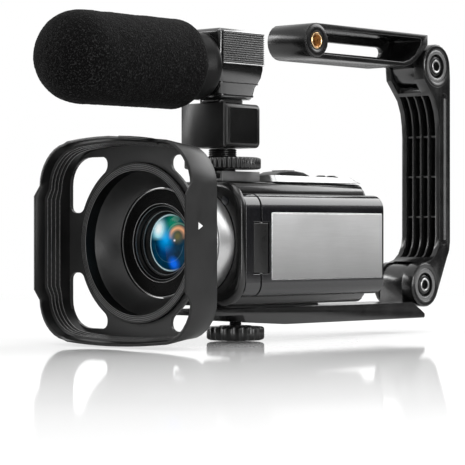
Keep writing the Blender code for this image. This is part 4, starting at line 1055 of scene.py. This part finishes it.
# Ribbed side panels between two bright strips.
RIB_FOOT = 88.2
RIB_PITCH = 1.075
for name, side in SIDES:
    line = [(14.3, RIB_FOOT)]
    for i in range(14):
        z = RIB_FOOT + RIB_PITCH * i
        line += [(14.8, z + 0.08), (15.15, z + 0.2), (15.32, z + 0.42), (15.3, z + 0.58), (15.1, z + 0.8),
                 (14.8, z + 0.96)]
    line.append((14.3, 103.25))
    ribs = slab([(side * x, z) for x, z in line], "Y", MIC_FRONT, MIC_BACK)
    piece("mic_ribs_" + name, ribs, rib_grey, stands_for=("mic_rib_panel_" + name,))
    line = [(14.2, 87.5), (15.2, 87.5), (15.4, 87.65), (15.2, 88.05), (14.2, 88.2)]
    strips = [slab([(side * x, z + up) for x, z in line], "Y", MIC_FRONT, MIC_BACK) for up in (0.0, 15.5)]
    piece("mic_strips_" + name, joined(*strips), strip_grey, ease=0.1)

# Seam, skirt, stem and lock wheel.
piece("mic_seam", block((-13.1, MIC_FRONT, 78.2), (13.1, MIC_BACK, 78.75), 3.6), gloss_black, ease=0.12)
piece("mic_skirt", block((-11.8, 45.3, 72.0), (11.8, 71.7, 73.0), 4.0), gloss_black, ease=0.25)
piece("mic_panel", block((14.3, 48.6, 48.8), (14.68, 69.2, 66.4), 1.2, "X"), gloss_black, ease=0.12)
line = [(6.2, 42.4)]
for i in range(4):
    z = 42.5 + 0.95 * i
    line += [(6.5, z), (7.0, z + 0.35), (7.0, z + 0.6), (6.5, z + 0.9)]
line.append((6.2, 46.3))
piece("stem_thread", turned(line, "Z", WHEEL_AXIS, 64), satin_black)
line = [(13.0, 29.2), (13.9, 29.2), (14.3, 29.6), (14.3, 30.6), (13.9, 31.0), (13.0, 31.0)]
piece("collar_bead", turned(line, centre=MIC_AXIS, steps=96), collar_black)
kept("mic_capsule_tube", battery_grey)
kept("mic_capsule", steel)
kept("mic_cell", steel)
WHEEL_R = 19.0
line = [(6.7, 36.3), (17.6, 36.3), (18.6, 36.6), (WHEEL_R, 37.1), (WHEEL_R, 41.3), (18.6, 41.8), (17.6, 42.1),
        (6.7, 42.1)]
wheel = fluted(turned(line, "Z", WHEEL_AXIS, 300), WHEEL_AXIS, WHEEL_R, 50, 0.8)
piece("lock_wheel", wheel, wheel_black, body="lock_wheel", stands_for=("mic_lock_wheel",), crease=50.0)


# Bracket.
def on_barrel(r, x, slant):
    """Round faces of a hinge barrel."""
    return r < 12.2 and slant < 0.3


plate = softened("base_plate", bracket_black, 0.5)
second_finish(plate, barrel_black, on_barrel, LOWER_HINGE, "X")
softened("base_pad", rubber, 0.2)
softened("grip_frame", bracket_black, 0.4)
# Lighter grey caps on the front edges of the grip's ties: painted highlights.
tie = block((-10.3, 223.9, 13.1), (10.3, 224.4, 14.0), 0.22, "X")
piece("grip_ties", repeated(tie, 3, (0.0, 0.0, 22.05)), grey_metal_and_painted_highlight, body="grip")
arm = softened("top_arm", arm_black, 0.4)
second_finish(arm, barrel_black, on_barrel, UPPER_HINGE, "X")
# Lighter grey strip in the rear half of the side groove: a painted highlight.
painted_highlight_strip = block((12.25, 226.1, 0.9), (12.7, 228.1, 78.5), 0.95, "X")
piece("grip_painted_highlight_strip", painted_highlight_strip, grey_metal_and_painted_highlight, body="grip", ease=0.1)

# Threaded insert at the free end of the arm.
line = [(4.0, 13.2), (4.0, 4.4), (2.9, 4.4)]
line += [(3.3 if i % 2 else 2.85, 4.7 + 0.5 * i) for i in range(17)]
insert = turned(line, "X", INSERT_AXIS, 48)
# Its dark brass stands in for the shade inside the bore.
piece("brass_insert", insert, brass, body="arm", stands_for=("arm_thread_insert",))
line = [(3.35, 12.9), (4.2, 12.9), (4.2, 13.3), (4.0, 13.45), (3.6, 13.45), (3.35, 13.25)]
piece("insert_rim", turned(line, "X", INSERT_AXIS, 56), brass_rim, body="arm")
line = [(4.9, 12.8), (4.9, 13.15), (5.2, 13.3), (8.2, 13.3), (8.5, 13.1), (8.5, 12.8)]
piece("arm_boss", turned(line, "X", INSERT_AXIS, 72), bracket_black, body="arm")

# Hinge bolts with rings, ear rims and washers.
bolt_line = [(2.65, 12.6), (3.6, 12.6), (3.6, 12.95), (3.4, 13.1), (2.9, 13.1), (2.65, 12.95)]
ear_line = [(9.0, 12.7), (11.5, 12.7), (11.5, 13.15), (11.2, 13.4), (9.5, 13.4), (9.0, 13.1)]
washer_line = [(6.6, 12.7), (8.8, 12.7), (8.8, 13.05), (8.6, 13.15), (6.9, 13.15), (6.6, 12.95)]
for place, centre in (("lower", LOWER_HINGE), ("upper", UPPER_HINGE)):
    softened(place + "_hinge_bolt", bolt_black, 0.2)
    softened(place + "_hinge_nut", steel, 0.2)
    rides = frame["nodes"][place + "_hinge_bolt"]["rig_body"]
    piece(place + "_bolt_ring", turned(bolt_line, "X", centre, 64), steel, body=rides)
    for name, side in SIDES:
        rim = turned([(r, side * x) for r, x in ear_line], "X", centre, 96)
        piece(place + "_ear_rim_" + name, rim, bracket_black, body="grip")
        washer = turned([(r, side * x) for r, x in washer_line], "X", centre, 96)
        piece(place + "_washer_" + name, washer, grey_metal_and_painted_highlight, body="grip")

# Camera screw and its knob.
line = [(0.0, -45.1), (2.7, -45.1)]
line += [(3.1 if i % 2 else 2.75, -44.8 + 0.6 * i) for i in range(31)]
line += [(2.5, -25.8), (0.0, -25.6)]
screw = turned(line, "Z", SCREW_AXIS, 40, False)
piece("screw_thread", screw, steel, body="knob", stands_for=("tripod_screw",))
KNOB_R = 14.4
line = [(0.0, -LENS_HEIGHT), (12.8, -LENS_HEIGHT), (13.9, -48.2), (KNOB_R, -47.4), (KNOB_R, -43.0),
        (14.0, -42.2), (13.2, -41.9), (8.2, -41.9), (8.0, -41.4), (3.3, -41.4), (3.3, -45.4), (0.0, -45.4)]
knob = fluted(turned(line, "Z", SCREW_AXIS, 264, False), SCREW_AXIS, KNOB_R, 22, 0.9, 0.6)
piece("base_knob_grip", knob, wheel_black, body="knob", stands_for=("base_knob",), crease=50.0)

# Studio.
TOWARDS_EYE = (0.669, -0.743, 0.0)
TO_THE_LEFT = (-0.743, -0.669, 0.0)


def studio_floor():
    """Pale polished floor that fades to white away from the object."""
    bm = bmesh.new()
    bmesh.ops.create_grid(bm, x_segments=1, y_segments=1, size=6.0)
    mesh = bpy.data.meshes.new("studio_floor")
    bm.to_mesh(mesh)
    bm.free()
    floor = bpy.data.objects.new("studio_floor", mesh)
    floor.location = (0.0, 0.0, -0.0006)
    scene.collection.objects.link(floor)
    mat, tree, shader = new_material("pale_floor")
    shader.inputs["Base Color"].default_value = (0.86, 0.86, 0.86, 1.0)
    shader.inputs["Roughness"].default_value = 0.6
    shader.inputs["Specular IOR Level"].default_value = 0.0
    far = arrow_sum(tree, "LENGTH", object_spot(tree))["Value"]
    path = wire(tree, "LightPath").outputs
    polish = wire(tree, "BsdfGlossy", {"Color": WHITE, "Roughness": 0.05})
    gloss = product(tree, spread(tree, far, 0.0, 0.62, 0.8, 0.0), path["Is Camera Ray"])
    polished = wire(tree, "MixShader", {0: gloss, 1: shader.outputs[0], 2: polish.outputs[0]})
    seen = greater(tree, path["Is Camera Ray"], path["Is Glossy Ray"])
    seen = greater(tree, seen, path["Is Transmission Ray"])
    share = product(tree, spread(tree, far, 0.4, 0.8), seen)
    shaded = product(tree, spread(tree, far, 0.45, 1.2, 0.0, 0.93), path["Is Glossy Ray"])
    level = combined(tree, "SUBTRACT", 1.0, shaded)
    white = wire(tree, "Emission", {"Color": WHITE, "Strength": level})
    mixed = wire(tree, "MixShader", {0: share, 1: polished.outputs[0], 2: white.outputs[0]})
    tree.links.new(mixed.outputs[0], tree.nodes["Material Output"].inputs["Surface"])
    mesh.materials.append(mat)


def studio_world():
    """White where it is seen, or mirrored above, behind and to the left; dimmer as plain light."""
    world = bpy.data.worlds.new("white_studio")
    world.use_nodes = True
    scene.world = world
    tree = world.node_tree
    back = tree.nodes["Background"]
    back.inputs["Color"].default_value = WHITE
    path = wire(tree, "LightPath").outputs
    seen = greater(tree, path["Is Camera Ray"], path["Is Transmission Ray"])
    way = wire(tree, "TexCoord").outputs["Generated"]
    facing = arrow_sum(tree, "DOT_PRODUCT", way, TOWARDS_EYE)["Value"]
    left = arrow_sum(tree, "DOT_PRODUCT", way, TO_THE_LEFT)["Value"]
    above = spread(tree, parts_of(tree, way)["Z"], 0.08, 0.42, 0.03, 1.0)
    behind = spread(tree, facing, -0.97, -0.75, 1.0, 0.0)
    beside = spread(tree, left, 0.55, 0.95, 0.0, 0.4)
    around = greater(tree, greater(tree, above, behind), beside)
    mirrored = product(tree, path["Is Glossy Ray"], around)
    plain = product(tree, combined(tree, "SUBTRACT", 1.0, path["Is Glossy Ray"]), 0.42)
    light = greater(tree, greater(tree, seen, mirrored), plain)
    tree.links.new(light, back.inputs["Strength"])


def softbox(name, place, aim, size, power):
    """Rectangular lamp in metres and watts, aimed at a point."""
    lamp = bpy.data.lights.new(name, "AREA")
    lamp.shape = "RECTANGLE"
    lamp.size, lamp.size_y = size
    lamp.energy = power
    obj = bpy.data.objects.new(name, lamp)
    obj.location = place
    obj.rotation_euler = (Vector(aim) - Vector(place)).to_track_quat("-Z", "Y").to_euler()
    scene.collection.objects.link(obj)


studio_floor()
studio_world()
softbox("top_softbox", (0.15, -0.05, 0.95), (0.0, 0.02, 0.08), (0.9, 0.7), 4.5)
softbox("back_softbox", (0.2, 0.92, 0.68), (0.0, 0.05, 0.07), (1.3, 0.6), 10.5)
softbox("right_strip", (0.95, -0.28, 0.3), (0.0, 0.03, 0.07), (0.14, 0.7), 4.0)
softbox("front_strip", (0.93, -0.42, 0.12), (0.0, -0.06, 0.05), (0.1, 0.4), 1.8)
softbox("left_strip", (-1.0, -0.45, 0.3), (0.0, 0.0, 0.07), (0.25, 0.7), 3.5)
softbox("left_softbox", (-0.72, -0.62, 0.55), (0.0, 0.0, 0.1), (0.7, 0.2), 2.5)
